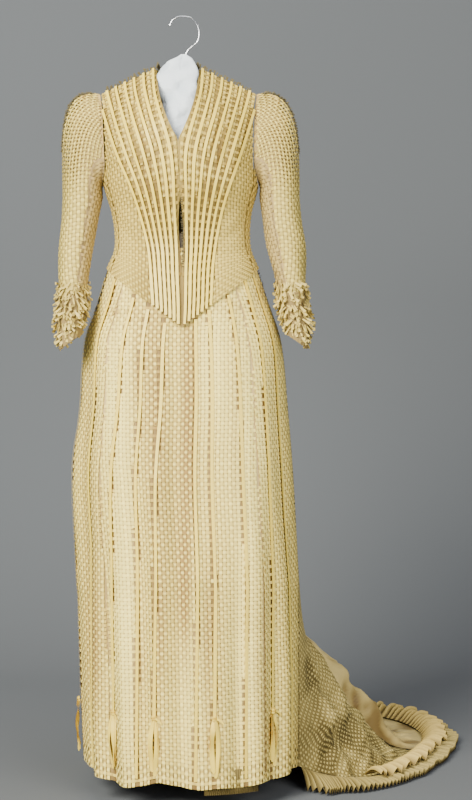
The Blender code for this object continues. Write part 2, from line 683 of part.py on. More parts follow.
def padding():
    count = 14
    a = np.radians(np.arange(count) * 360 / count)
    rings = []
    sides = ("left", "right", "front", "back", "drop")
    for left, right, front, back, drop in zip(*(PADDING[k] for k in sides)):
        x = (left + right) / 2 + (right - left) / 2 * np.sign(np.cos(a)) * np.abs(np.cos(a)) ** 0.8
        y = (front + back) / 2 + (front - back) / 2 * np.sign(np.sin(a)) * np.abs(np.sin(a)) ** 0.8
        rings.append(np.stack([x, y, np.full(count, -drop)], axis=1))
    faces = [
        (r * count + c, r * count + (c + 1) % count, (r + 1) * count + (c + 1) % count, (r + 1) * count + c)
        for r in range(len(rings) - 1)
        for c in range(count)
    ]
    faces += [tuple(reversed(range(count))), tuple((len(rings) - 1) * count + c for c in range(count))]
    mesh = bpy.data.meshes.new("neck_padding")
    mesh.from_pydata(np.concatenate(rings).tolist(), [], faces)
    mesh.shade_smooth()
    solid_of("neck_padding", mesh, "white_cloth")


def build():
    for side, label in ((-1, "left"), (1, "right")):
        front = trimmed(bodice_panel(FRONT_ROWS, side, -1, 7), ("last",))
        cloth(f"bodice_front_{label}", front, "net")
        fan_ribbons(side, front)
        cloth(f"bodice_side_{label}", trimmed(bodice_side(side, 4), ("first", "last")), "net")
        back = trimmed(bodice_panel(BACK_ROWS, side, 1, 5), ("last",))
        cloth(f"bodice_back_{label}", back, "net")
        cloth(f"sleeve_upper_{label}", sleeve(side, -SLEEVE_SEAM, SLEEVE_SEAM, 16, 0.0024), "net")
        cloth(f"sleeve_under_{label}", sleeve(side, SLEEVE_SEAM, 360 - SLEEVE_SEAM, 7), "net_under")
        closed_cloth(f"cuff_frill_{label}", cuff_frill(side), "frill", 0.0012)

    neck_edging()
    turn = np.linspace(0, 360, 29)[:-1]
    band = np.array([round_form(turn, np.full(28, d), UNDER) for d in (0.404, SKIRT_TOP - 0.0004)])
    closed_cloth("skirt_waistband", band, "satin", WALL)
    panels = {name: skirt_panel(*span) for name, span in SKIRT_PANELS.items()}
    for name, (grid, _) in panels.items():
        space = TRAIN_SEAM if "train" in name else SEAM
        if "satin" in name:
            join = len(UPPER_DROPS)
            upper = trimmed(grid[: join + 1], ("first", "last", "top", "low"), space)
            cloth(name.replace("train", "skirt"), upper, "satin")
            cloth(name, trimmed(grid[join:], ("first", "last", "top"), space), "satin")
        else:
            cloth(name, trimmed(grid, ("first", "last", "top"), space), "net")
    skirt_ribbons(panels)
    train_frills(panels)
    front_frill()
    wire("hanger_hook", HOOK_ROUTE, HOOK_WIRE, "chrome", 1)
    wire("hanger_bar", BAR_ROUTE, BAR_RADIUS, "white_cloth", 2)
    padding()


build()
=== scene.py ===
# Afternoon dress of ribbon-woven net over satin, hung on a padded hanger. Metres, front towards -Y.
# "left" and "right" are as seen from the front, and a drop is a distance below the hook's inside.
import math

import bpy
import numpy as np
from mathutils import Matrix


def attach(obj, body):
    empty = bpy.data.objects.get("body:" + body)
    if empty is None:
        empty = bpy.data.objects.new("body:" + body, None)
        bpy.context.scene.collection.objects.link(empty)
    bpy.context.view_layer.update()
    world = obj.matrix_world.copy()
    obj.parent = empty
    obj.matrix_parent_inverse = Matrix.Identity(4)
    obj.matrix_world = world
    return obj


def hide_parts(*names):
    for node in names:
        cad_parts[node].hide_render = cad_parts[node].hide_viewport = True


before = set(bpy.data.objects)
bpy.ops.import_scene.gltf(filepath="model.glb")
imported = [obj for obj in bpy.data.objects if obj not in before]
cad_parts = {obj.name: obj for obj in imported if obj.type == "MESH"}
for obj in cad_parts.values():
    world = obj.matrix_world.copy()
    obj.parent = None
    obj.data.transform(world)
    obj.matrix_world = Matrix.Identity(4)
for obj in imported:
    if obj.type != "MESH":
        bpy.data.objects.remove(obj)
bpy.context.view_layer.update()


def table(names, *rows):
    return dict(zip(names.split(), np.array(rows, float).T))


# reads a table's column smoothly between its rows
def smooth(rows, by, name, at):
    x, y = rows[by], rows[name]
    at = np.clip(at, x[0], x[-1])
    slope = np.gradient(y, x)
    i = np.clip(np.searchsorted(x, at, side="right") - 1, 0, len(x) - 2)
    step = x[i + 1] - x[i]
    s = (at - x[i]) / step
    return (
        (2 * s**3 - 3 * s**2 + 1) * y[i]
        + (s**3 - 2 * s**2 + s) * step * slope[i]
        + (3 * s**2 - 2 * s**3) * y[i + 1]
        + (s**3 - s**2) * step * slope[i + 1]
    )


up = np.array([0, 0, 1.0])


def ease(t):
    t = np.clip(t, 0, 1)
    return t * t * (3 - 2 * t)


def unit(v):
    return v / np.maximum(np.linalg.norm(v, axis=-1, keepdims=True), 1e-12)


def runAlong(line):
    return np.concatenate([[0], np.cumsum(np.linalg.norm(np.diff(line, axis=0), axis=1))])


# two values at each point, as rows of pairs
def pairs(a, b):
    return np.stack(np.broadcast_arrays(a, b), axis=-1).reshape(-1, 2)


# the camera: 4 m in front, a little high and to the right, tilted down
cameraView = {"at": (0.103, -4.0, -0.458), "tilt": 3.7, "lens": 95.4, "sensor": 36}


def addCamera(view):
    camera = bpy.data.cameras.new("camera")
    camera.sensor_fit = "VERTICAL"
    camera.sensor_height = view["sensor"]
    camera.lens = view["lens"]
    camera.clip_start, camera.clip_end = 0.1, 60
    holder = bpy.data.objects.new("camera", camera)
    holder.location = view["at"]
    holder.rotation_euler = (math.radians(90 - view["tilt"]), 0, 0)
    bpy.context.scene.collection.objects.link(holder)
    bpy.context.scene.camera = holder


addCamera(cameraView)
print("camera placed")

# the dress's form, the same as in its solids
floorDrop = 1.458
form = {
    "round": 2.2,
    "sideShare": 0.925,
    "shoulderRise": 0.135,
    "shoulderSeam": 0.0011,
    "neckX": 0.0415,
    "neckDrop": 0.0945,
    "neckSlope": 0.8,
    "shoulderSlope": 0.466,
    "sections": table(
        "drop width front back shift",
        (0.090, 0.155, 0.104, 0.094, -0.006),
        (0.230, 0.153, 0.112, 0.098, -0.003),
        (0.270, 0.149, 0.113, 0.097, -0.002),
        (0.315, 0.1445, 0.110, 0.094, 0.000),
        (0.367, 0.1305, 0.098, 0.088, 0.001),
        (0.401, 0.1266, 0.094, 0.088, 0.002),
        (0.435, 0.1286, 0.097, 0.096, 0.003),
        (0.469, 0.143, 0.108, 0.112, 0.003),
        (0.538, 0.1665, 0.124, 0.150, 0.004),
        (0.595, 0.187, 0.137, 0.178, 0.003),
        (0.652, 0.1948, 0.146, 0.195, 0.004),
        (0.709, 0.1985, 0.154, 0.205, 0.005),
        (0.828, 0.2095, 0.168, 0.215, 0.004),
        (1.013, 0.212, 0.184, 0.225, 0.0125),
        (1.184, 0.214, 0.194, 0.235, 0.019),
        (1.412, 0.206, 0.200, 0.240, 0.020),
    ),
}


def section(name, drop):
    return smooth(form["sections"], "drop", name, drop)


# a point of the closed form at an angle round it: 0 front, 90 right, 180 back
def roundForm(angle, drop, lift=0.0):
    a = np.radians(angle)
    depth = np.where(np.cos(a) > 0, section("front", drop), section("back", drop))
    power = 2 / form["round"]
    x = (section("width", drop) + lift) * np.sign(np.sin(a)) * np.abs(np.sin(a)) ** power
    y = -(depth + lift) * np.sign(np.cos(a)) * np.abs(np.cos(a)) ** power
    return np.stack([x + section("shift", drop), y, -drop + 0 * x], axis=-1)


# a point of the bodice's front (facing -1) or back (facing 1), x from its centre line
def bodicePoint(x, drop, facing, lift=0.0):
    x, drop = np.broadcast_arrays(np.asarray(x, float), np.asarray(drop, float))
    depth = section("front" if facing < 0 else "back", drop)
    share = np.clip(np.abs(x) / section("width", drop), 0, 1)
    along = np.abs(x) - form["neckX"]
    seam = form["neckDrop"] + along * np.where(along < 0, form["neckSlope"], form["shoulderSlope"])
    below = np.clip((drop - seam) / form["shoulderRise"], 0, 1)
    y = (depth + lift) * (1 - share ** form["round"]) ** (1 / form["round"]) * (1 - (1 - below) ** 1.9)
    y = y + form["shoulderSeam"] * (1 - below) ** 3
    return np.stack([x + section("shift", drop), facing * y, -drop], axis=-1)


# the net: ribbons crossing at every 7.3 mm, waving over and under each other
weaveSettings = {
    "pitch": 0.0073,
    "width": 0.0052,
    "lift": 0.0010,
    "liningDepth": 0.0019,
    "liningColumns": 44,
    "slotLeft": 0.0064,
    "slotRight": 0.0030,
    "slotShade": 0.007,
    "liftFrom": 0.85,
    "liftVary": 0.3,
    "raisedBright": 0.85,  # raised dots stay bright in the shade
    "fine": 170,
}


# lays a panel out in rows half a cell apart, with the distance across each row from its grain line
def layOut(surface, grain=0.5, inside=(0, 0), flared=False, size=1.0):
    pitch, fine = weaveSettings["pitch"] * size, weaveSettings["fine"]
    t = np.linspace(0, 1, 600)
    run = runAlong(surface(np.full(600, grain), t))
    if flared:  # a panel that sweeps out counts its rows where it is longer
        steps = [np.diff(runAlong(surface(np.full(600, s), t))) for s in np.linspace(0, 1, 9)]
        run = np.concatenate([[0], np.cumsum(np.max(steps, axis=0))])
    cells = max(2, round(run[-1] / pitch))
    rows = np.interp(np.linspace(0, run[-1], 2 * cells + 1), run, t)
    share = np.linspace(0, 1, fine)
    s, t = np.meshgrid(share, rows)
    points = surface(s, t)
    normal = unit(np.cross(np.gradient(points, axis=0), np.gradient(points, axis=1)))
    centre = np.array([*inside, 0.0])
    inward = np.sum(normal * (points - centre) * (1, 1, 0)) < 0
    normal = -normal if inward else normal
    steps = np.linalg.norm(np.diff(points, axis=1), axis=2)
    across = np.concatenate([np.zeros((len(rows), 1)), np.cumsum(steps, axis=1)], axis=1)
    across = across - np.array([np.interp(grain, share, a) for a in across])[:, None]
    return {"points": points, "normal": normal, "across": across, "share": share, "rows": rows, "size": size,
            "pitch": run[-1] / cells, "lines": [], "slotScale": [1.0] * 9, "hemRows": 0, "surface": surface,
            "thin": np.ones(len(rows))}


# the same surface in rows that all lie as far from its lower end, or from its top, and where they end
def levelRows(surface, fromTop):
    share, t = np.linspace(0, 1, weaveSettings["fine"]), np.linspace(0, 1, 240)
    runs = np.array([runAlong(surface(np.full(240, s), t)) for s in share])
    longest = runs[:, -1].max()

    def level(s, v):
        s, v = np.broadcast_arrays(np.asarray(s, float), np.asarray(v, float))
        near = np.clip(np.round(s * (len(share) - 1)).astype(int), 0, len(share) - 1)
        return near, v * longest if fromTop else runs[near, -1] - (1 - v) * longest

    def straight(s, v):
        near, reach = level(s, v)
        rows = np.array([np.interp(r, runs[n], t) for n, r in zip(near.ravel(), reach.ravel())])
        return surface(s, rows.reshape(near.shape))

    def kept(s, v):
        near, reach = level(s, v)
        return (reach >= 0) & (reach <= runs[near, -1] + 0.002)

    return straight, kept


def layLevel(surface, inside, fromTop=False, size=1.0):
    straight, kept = levelRows(surface, fromTop)
    lay = layOut(straight, inside=inside, flared=True, size=size)
    lay["kept"] = kept(*np.meshgrid(lay["share"], lay["rows"])).astype(float)
    return lay


# reads the laid-out cloth at fractional rows and at distances from the grain line
def readCloth(lay, rows, at):
    low = np.clip(np.floor(rows).astype(int), 0, len(lay["rows"]) - 2)
    part = (rows - low)[:, None]
    across = lay["across"][low] * (1 - part) + lay["across"][low + 1] * part
    found = []
    for key in ("points", "normal"):
        grid = lay[key][low] * (1 - part[..., None]) + lay[key][low + 1] * part[..., None]
        read = [[np.interp(at, across[r], grid[r, :, k]) for k in range(3)] for r in range(len(rows))]
        found.append(np.moveaxis(np.array(read), 1, -1))
    inside = (at >= across[:, :1]) & (at <= across[:, -1:])
    if "kept" in lay:
        inside &= np.stack([np.interp(at, across[r], lay["kept"][n]) > 0.99 for r, n in enumerate(low)])
    return found[0], unit(found[1]), inside


# how near each place lies to the ribbons sewn on the panel: the slots open there
def slotsAt(lay, rows, at):
    open_ = np.zeros((len(rows), len(at)), bool)
    for k, line in enumerate(lay["lines"]):
        off = at - np.interp(rows, np.arange(len(line)), line)[:, None]
        open_ |= (off > -weaveSettings["slotLeft"] * lay["slotScale"][k]) & (off < weaveSettings["slotRight"])
    return open_


def meshPiece(name, points, quads, material, floats=None, maps=None):
    mesh = bpy.data.meshes.new(name)
    points, quads = np.asarray(points, np.float32), np.asarray(quads, np.int32)
    mesh.vertices.add(len(points))
    mesh.vertices.foreach_set("co", points.ravel())
    mesh.loops.add(quads.size)
    mesh.loops.foreach_set("vertex_index", quads.ravel())
    mesh.polygons.add(len(quads))
    mesh.polygons.foreach_set("loop_start", np.arange(len(quads), dtype=np.int32) * 4)
    mesh.update(calc_edges=True)
    for key, values in (maps or {}).items():
        layer = mesh.uv_layers.new(name=key)
        layer.uv.foreach_set("vector", np.asarray(values, np.float32)[quads.ravel()].ravel())
    for key, values in (floats or {}).items():
        layer = mesh.attributes.new(key, "FLOAT", "POINT")
        layer.data.foreach_set("value", np.asarray(values, np.float32))
    mesh.polygons.foreach_set("use_smooth", np.full(len(quads), True))
    mesh.materials.append(material)
    piece = bpy.data.objects.new(name, mesh)
    bpy.context.scene.collection.objects.link(piece)
    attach(piece, "root")
    return piece


# faces of a grid of points whose rows lie one after another
def gridFaces(rows, columns, closed=False, first=0):
    r, c = np.meshgrid(np.arange(rows - 1), np.arange(columns if closed else columns - 1), indexing="ij")
    after = (c + 1) % columns
    r = r * columns
    corners = [r + c, r + columns + c, r + columns + after, r + after]
    return first + np.stack(corners, axis=-1).reshape(-1, 4)


# the places on a flat map, fitted into a part of it
def fitted(u, v, low, high):
    span = max(np.ptp(u) / (high[0] - low[0]), np.ptp(v) / (high[1] - low[1]), 1e-9)
    return np.stack([low[0] + (u - u.min()) / span, low[1] + (v - v.min()) / span], axis=-1)


# the maps of plain cloth from the distances across and down it
def clothMaps(across, down):
    flat = pairs(across, down)
    return {"threads": flat, "OFBake": fitted(flat[:, 0], flat[:, 1], (0.01, 0.01), (0.99, 0.99))}


# a strip's two edges, beside its middle line
def stripEdges(middle, side, half):
    return np.stack([middle - side * half, middle + side * half], axis=1)


def joined(parts):
    points, quads, count = [], [], 0
    for part in parts:
        points.append(part["points"].reshape(-1, 3))
        quads.append(part["quads"] + count)
        count += len(points[-1])
    floats = {}
    for key in parts[0]["floats"]:
        each = [np.broadcast_to(part["floats"][key], part["points"].shape[:-1]).ravel() for part in parts]
        floats[key] = np.concatenate(each)
    return np.concatenate(points), np.concatenate(quads), floats


# patches lie on the front of the dress alone, up to this y
patchesEnd = 0.03
# where the light falls less on the dress: x, drop, half width, half height, how dark
shadePatches = table(
    "x drop wide high dark",
    (-0.044, 0.700, 0.026, 0.260, 0.85),
    (0.016, 0.720, 0.015, 0.240, 1.00),
    (-0.004, 0.940, 0.026, 0.200, 0.45),
    (-0.080, 0.640, 0.010, 0.110, 0.55),
    (-0.172, 0.800, 0.016, 0.260, 0.50),
    (0.100, 0.780, 0.010, 0.200, 0.45),
    (0.066, 1.150, 0.016, 0.200, 0.50),
    (-0.156, 1.180, 0.020, 0.160, 0.45),
    (-0.036, 1.120, 0.012, 0.130, 0.80),
    (0.010, 1.070, 0.013, 0.120, 0.80),
    (0.050, 1.130, 0.009, 0.120, 0.60),
    (-0.070, 1.200, 0.008, 0.110, 0.45),
    (0.142, 1.200, 0.010, 0.120, 0.40),
    (-0.165, 1.150, 0.018, 0.180, 0.50),
    (-0.121, 1.335, 0.006, 0.040, 0.80),
    (-0.038, 1.335, 0.006, 0.045, 0.80),
    (0.056, 1.335, 0.006, 0.045, 0.80),
    (0.167, 1.330, 0.006, 0.040, 0.80),
    (0.176, 0.478, 0.011, 0.004, 0.90),
    (0.179, 0.496, 0.012, 0.004, 0.80),
    (0.182, 0.513, 0.012, 0.004, 0.90),
    (0.185, 0.531, 0.012, 0.004, 0.80),
    (0.188, 0.549, 0.012, 0.004, 0.90),
    (0.190, 0.566, 0.012, 0.004, 0.80),
    (-0.120, 0.560, 0.012, 0.080, 0.35),
    (-0.058, 0.290, 0.010, 0.070, 0.60),
    (-0.040, 0.330, 0.008, 0.060, 0.35),
    (0.070, 0.250, 0.007, 0.050, 0.85),
    (0.054, 0.310, 0.006, 0.060, 0.70),
    (-0.070, 0.240, 0.006, 0.050, 0.55),
    (0.150, 0.510, 0.014, 0.020, 0.80),
    (0.0005, 0.440, 0.0024, 0.040, 1.00),
    (0.0005, 0.510, 0.0018, 0.050, 0.60),
    (-0.105, 0.550, 0.050, 0.010, 0.30),
    (0.090, 0.540, 0.050, 0.010, 0.30),
    (0.230, 1.370, 0.030, 0.050, 0.50),
    (0.280, 1.390, 0.014, 0.040, 0.80),
)
# deep folds of the train's net and satin, longer along y and z than they are wide: each is painted in shade
# as dark as given, and sinks the satin
foldStretch = np.array([1, 1.5, 2])
deepFolds = table(
    "x y drop wide dark",
    (0.246, 0.013, 1.235, 0.012, 0.60),
    (0.257, 0.009, 1.295, 0.013, 0.80),
    (0.268, 0.004, 1.341, 0.011, 1.00),
    (0.276, 0.012, 1.372, 0.013, 0.90),
    (0.305, 0.056, 1.378, 0.013, 0.90),
    (0.325, 0.243, 1.322, 0.007, 1.00),
    (0.346, 0.256, 1.338, 0.010, 1.00),
    (0.351, 0.250, 1.360, 0.011, 1.00),
    (0.368, 0.268, 1.362, 0.006, 0.80),
    (0.400, 0.310, 1.400, 0.014, 0.80),
    (0.425, 0.360, 1.420, 0.014, 0.70),
)
# painted light: where the net and its lining are painted paler and the weave flatter in colour, as where more
# light falls
litPatches = table(
    "x drop wide high pale",
    (-0.100, 1.120, 0.022, 0.240, 1.00),
    (-0.118, 0.700, 0.026, 0.180, 0.90),
    (0.130, 0.780, 0.045, 0.280, 1.00),
    (0.060, 0.640, 0.022, 0.120, 0.70),
    (0.020, 1.220, 0.026, 0.160, 0.60),
    (0.120, 1.220, 0.036, 0.140, 0.80),
    (-0.120, 0.420, 0.030, 0.060, 0.80),
    (0.110, 0.420, 0.040, 0.080, 0.80),
)


def patchesAt(points, patches):
    total = np.zeros(points.shape[:-1])
    for x, drop, wide, high, amount in zip(*patches.values()):
        off = ((points[..., 0] - x) / wide) ** 2 + ((-points[..., 2] - drop) / high) ** 2
        total = total + amount * np.exp(-off) * (points[..., 1] < patchesEnd)
    return np.clip(total, 0, 1)


# sharp small creases in all directions, from -1 to 1
def crumple(points, seed, spacing, count=14):
    random = np.random.default_rng(seed)
    total = np.zeros(points.shape[:-1])
    for _ in range(count):
        wave = points @ unit(random.normal(size=3)) / random.uniform(*spacing) + random.random()
        total += np.abs(wave % 1 - 0.5) * 4 - 1
    return total / count**0.5


# the train's cloth as it lies crumpled, in large and small creases
crumples = (
    {"seed": 70, "spacing": (0.05, 0.12), "height": 0.0095},
    {"seed": 71, "spacing": (0.02, 0.045), "height": 0.0026},
)
# where its valleys are painted in shade: from this x or y and drop on, each with how far it takes to begin
valleys = {"x": 0.21, "y": 0.16, "soft": 0.04, "drop": 1.12, "softDrop": 0.12, "steep": 1.7, "dark": 0.85}


def foldsAt(points):
    total = np.zeros(points.shape[:-1])
    for x, y, drop, wide, dark in zip(*deepFolds.values()):
        off = ((points - (x, y, -drop)) / (wide * foldStretch)) ** 2
        total = total + dark * np.exp(-off.sum(axis=-1))
    return np.clip(total, 0, 1)


# the shade on cloth: the patches, and the valleys of what is crumpled on the floor
def shadeAt(points):
    beyond = np.maximum(points[..., 0] - valleys["x"], points[..., 1] - valleys["y"])
    swept = ease(beyond / valleys["soft"]) * ease((-points[..., 2] - valleys["drop"]) / valleys["softDrop"])
    valley = 0
    if swept.max() > 0:
        creases = crumple(points, crumples[0]["seed"], crumples[0]["spacing"])
        valley = np.clip(-valleys["steep"] * creases, 0, 1)
    return np.clip(patchesAt(points, shadePatches) + valleys["dark"] * swept * valley + foldsAt(points), 0, 1)


# how far each crossing lies over or under, a little unevenly
def unevenLift(over, lay, random):
    vary = weaveSettings["liftVary"] * random.random(over.shape)
    lift = weaveSettings["lift"] * lay["size"]
    height = over * lift * (weaveSettings["liftFrom"] + vary)
    return height, height / lift * 0.5 + 0.5


def uprightRibbons(lay, columns, half, random):
    count, pitch = len(lay["rows"]), lay["pitch"]
    at = (columns[:, None] * pitch + np.array([-half, half])).ravel()
    rows = np.arange(count, dtype=float)
    points, normal, inside = readCloth(lay, rows, at)
    shape = (count, len(columns), 2)
    points, normal = points.reshape(*shape, 3), normal.reshape(*shape, 3)
    inside = inside.reshape(shape).all(axis=2) & ~slotsAt(lay, rows, columns * pitch)
    centre = points.mean(axis=2, keepdims=True)
    points = centre + (points - centre) * lay["thin"][:, None, None, None]
    crossing = (np.arange(count) % 2 == 1)[:, None]
    over = np.where(((np.arange(count) - 1) // 2)[:, None] % 2 == columns % 2, 1.0, -1.0)
    height, over = unevenLift(np.where(crossing, over, 0.0), lay, random)
    points = points + normal * height[..., None, None]
    quads = gridFaces(count, 2 * len(columns)).reshape(count - 1, -1, 4)[:, ::2]
    quads = quads[inside[:-1] & inside[1:]]
    strand = random.random(len(columns))[None, :, None]
    floats = {"over": over[..., None], "strand": strand, "upright": np.array(1.0),
              "u": at.reshape(1, -1, 2), "v": (rows * pitch / 2)[:, None, None]}
    return {"points": points, "quads": quads, "floats": floats}


def levelRibbons(lay, columns, half, random):
    cells, pitch = np.arange((len(lay["rows"]) - 1) // 2), lay["pitch"]
    thin = lay["thin"][2 * cells + 1, None]
    rows = (2 * cells[:, None] + 1 + np.array([-half, half]) * 2 / pitch * thin).ravel()
    steps = np.arange(2 * columns[0] - 1, 2 * columns[-1] + 2)
    at = steps * pitch / 2
    points, normal, inside = readCloth(lay, rows, at)
    slots = slotsAt(lay, rows, at).reshape(len(cells), 2, len(steps)).any(axis=1)
    even = (cells % 2 == 0)[:, None]
    nearHem = (cells >= len(cells) - lay["hemRows"])[:, None]
    shape = (len(cells), 2, len(steps))
    points, normal = points.reshape(*shape, 3), normal.reshape(*shape, 3)
    inside = inside.reshape(shape).all(axis=1) & ~((slots | nearHem) & even)
    over = np.where(cells[:, None] % 2 == (steps // 2) % 2, -1.0, 1.0)
    height, over = unevenLift(np.where(steps % 2 == 0, over, 0.0), lay, random)
    points = points + normal * height[:, None, :, None]
    quads = np.stack([gridFaces(2, len(steps), first=2 * len(steps) * k) for k in range(len(cells))])
    quads = quads[inside[:, :-1] & inside[:, 1:]]
    strand = random.random(len(cells))[:, None, None]
    floats = {"over": over[:, None, :], "strand": strand, "upright": np.array(0.0),
              "u": at[None, None, :], "v": (rows * pitch / 2).reshape(len(cells), 2, 1)}
    return {"points": points, "quads": quads, "floats": floats}


def weave(name, lay, material, seed):
    half = weaveSettings["width"] * lay["size"] / 2
    random = np.random.default_rng(seed)
    ends = lay["across"].min() / lay["pitch"], lay["across"].max() / lay["pitch"]
    columns = np.arange(math.ceil(ends[0]), math.floor(ends[1]) + 1)
    ribbons = [make(lay, columns, half, random) for make in (uprightRibbons, levelRibbons)]
    points, quads, floats = joined(ribbons)
    used = np.unique(quads)
    index = np.zeros(len(points), np.int32)
    index[used] = np.arange(len(used))
    points, quads = points[used], index[quads]
    floats = {k: v[used] for k, v in floats.items()}
    u, v = floats.pop("u"), floats.pop("v")
    upright = floats["upright"] > 0.5
    bake = np.zeros((len(points), 2))
    bake[upright] = fitted(u[upright], v[upright], (0.01, 0.01), (0.49, 0.99))
    bake[~upright] = fitted(u[~upright], v[~upright], (0.51, 0.01), (0.99, 0.99))
    raised = np.clip(floats["over"], 0, 1) ** 2 * floats["upright"]
    floats["shade"] = shadeAt(points) * (1 - weaveSettings["raisedBright"] * raised)
    # painted light: the net paler where more light falls
    floats["pale"] = patchesAt(points, litPatches)
    maps = {"threads": pairs(np.where(upright, u, v), np.where(upright, v, u)), "OFBake": bake}
    piece = meshPiece(name, points, quads, material, floats, maps)
    return piece


# the satin or cotton that a panel is lined with, just inside the net
def lining(name, lay, material):
    pick = np.unique(np.linspace(0, len(lay["share"]) - 1, weaveSettings["liningColumns"]).astype(int))
    levels = np.arange(len(lay["rows"]))
    fine = max(1, round(60 / len(levels)))
    rows = np.linspace(0, levels[-1], levels[-1] * fine + 1)[:: 1 if fine > 1 else 2]
    rows[-1] = levels[-1]
    s, t = np.meshgrid(lay["share"][pick], np.interp(rows, levels, lay["rows"]))
    near = np.clip(np.round(rows).astype(int), 0, levels[-1])
    normal, across = lay["normal"][near][:, pick], lay["across"][near][:, pick]
    depth = weaveSettings["liningDepth"] + (lay["inset"](s, t) if "inset" in lay else 0 * s)
    points = lay["surface"](s, t) - normal * depth[..., None]
    down = np.broadcast_to((rows * lay["pitch"] / 2)[:, None], across.shape)
    # painted shade on the lining behind the net's slots and the hem's open rows
    slot = np.zeros(across.shape)
    for line in lay["lines"]:
        off = (across - np.interp(rows, levels, line)[:, None]) / weaveSettings["slotShade"]
        slot = np.maximum(slot, np.exp(-(off**2)))
    if lay["hemRows"]:
        slot = np.maximum(slot, ease(1 - (down.max() - down) / (lay["hemRows"] * lay["pitch"])) * 0.8)
    # painted light: the lining paler where more light falls
    pale = patchesAt(points, litPatches)
    floats = {"shade": shadeAt(points).ravel(), "slot": slot.ravel(), "pale": pale.ravel()}
    quads = gridFaces(len(rows), len(pick))
    return meshPiece(name, points.reshape(-1, 3), quads, material, floats, clothMaps(across, down))


# materials: what several share is a node group that puts out colours and heights
def addGroup(name, inputs, outputs):
    group = bpy.data.node_groups.new(name, "ShaderNodeTree")
    for label, kind, value in inputs:
        socket = group.interface.new_socket(label, in_out="INPUT", socket_type=kind)
        if value is not None:
            socket.default_value = value
    for label, kind in outputs:
        group.interface.new_socket(label, in_out="OUTPUT", socket_type=kind)
    return group, group.nodes, group.links


# joins a socket to another or sets its value; a colour is given as three numbers
def feed(links, socket, value):
    if isinstance(value, bpy.types.NodeSocket):
        links.new(value, socket)
    elif isinstance(value, tuple) and socket.type == "RGBA":
        socket.default_value = (*value, 1)
    else:
        socket.default_value = value


def addNode(nodes, links, kind, inputs=None, **settings):
    node = nodes.new(kind)
    for key, value in settings.items():
        setattr(node, key, value)
    for key, value in (inputs or {}).items():
        feed(links, node.inputs[key], value)
    return node


def mixColours(nodes, links, factor, first, second):
    inputs = {0: factor, 6: first, 7: second}
    return addNode(nodes, links, "ShaderNodeMix", inputs, data_type="RGBA", blend_type="MIX").outputs[2]


def reckon(nodes, links, operation, first, second=0.0, clamp=False):
    inputs = {0: first, 1: second}
    return addNode(nodes, links, "ShaderNodeMath", inputs, operation=operation, use_clamp=clamp).outputs[0]


# old cloth: cloudy fading and small foxed spots, and warm painted shade where "Shade" is high
def agedClothAndShadeGroup():
    sockets = [("Colour", "NodeSocketColor", (0.8, 0.7, 0.5, 1)),
               ("Shaded", "NodeSocketColor", (0.45, 0.33, 0.14, 1)), ("Shade", "NodeSocketFloat", 0.0),
               ("Fading", "NodeSocketFloat", 0.12), ("Spots", "NodeSocketFloat", 0.3)]
    group, nodes, links = addGroup("agedClothAndShade", sockets, [("Colour", "NodeSocketColor")])
    given, out = nodes.new("NodeGroupInput"), nodes.new("NodeGroupOutput")
    place = nodes.new("ShaderNodeTexCoord").outputs["Object"]
    cloud = addNode(nodes, links, "ShaderNodeTexNoise", {"Scale": 9, "Detail": 3, "Vector": place})
    fine = addNode(nodes, links, "ShaderNodeTexNoise", {"Scale": 70, "Detail": 2, "Vector": place})
    faded = reckon(nodes, links, "SUBTRACT", cloud.outputs["Fac"], 0.5)
    faded = reckon(nodes, links, "MULTIPLY", faded, 2.2)
    faded = reckon(nodes, links, "MULTIPLY", faded, given.outputs["Fading"])
    faded = reckon(nodes, links, "ADD", faded, 1.0)
    bright = addNode(nodes, links, "ShaderNodeVectorMath", {0: given.outputs["Colour"], "Scale": faded},
                     operation="SCALE")
    limits = {"From Min": 0.68, "From Max": 0.80, "Value": fine.outputs["Fac"]}
    spots = addNode(nodes, links, "ShaderNodeMapRange", limits)
    spots = reckon(nodes, links, "MULTIPLY", spots.outputs["Result"], given.outputs["Spots"])
    dark = reckon(nodes, links, "MAXIMUM", given.outputs["Shade"], spots, clamp=True)
    agedAndShaded = mixColours(nodes, links, dark, bright.outputs["Vector"], given.outputs["Shaded"])
    links.new(agedAndShaded, out.inputs["Colour"])
    return group


# fine threads along and across a piece's "threads" map, in metres
def threadGrainGroup():
    sockets = [("Along", "NodeSocketFloat", 0.6), ("Across", "NodeSocketFloat", 0.4),
               ("Threads", "NodeSocketFloat", 3000.0)]
    results = [("Height", "NodeSocketFloat"), ("Streak", "NodeSocketFloat")]
    group, nodes, links = addGroup("threadGrain", sockets, results)
    given, out = nodes.new("NodeGroupInput"), nodes.new("NodeGroupOutput")
    place = addNode(nodes, links, "ShaderNodeUVMap", uv_map="threads").outputs["UV"]
    split = nodes.new("ShaderNodeSeparateXYZ")
    links.new(place, split.inputs[0])
    waves = []
    for socket, amount in ((split.outputs[0], "Along"), (split.outputs[1], "Across")):
        turn = reckon(nodes, links, "MULTIPLY", socket, given.outputs["Threads"])
        wave = reckon(nodes, links, "SINE", turn)
        waves.append(reckon(nodes, links, "MULTIPLY", wave, given.outputs[amount]))
    links.new(reckon(nodes, links, "ADD", *waves), out.inputs["Height"])
    stretch = addNode(nodes, links, "ShaderNodeMapping", {"Scale": (900, 14, 1), "Vector": place})
    streak = addNode(nodes, links, "ShaderNodeTexNoise",
                     {"Scale": 1, "Detail": 1, "Vector": stretch.outputs["Vector"]})
    links.new(streak.outputs["Fac"], out.inputs["Streak"])
    return group


groups = {"agedAndShaded": agedClothAndShadeGroup(), "threads": threadGrainGroup()}


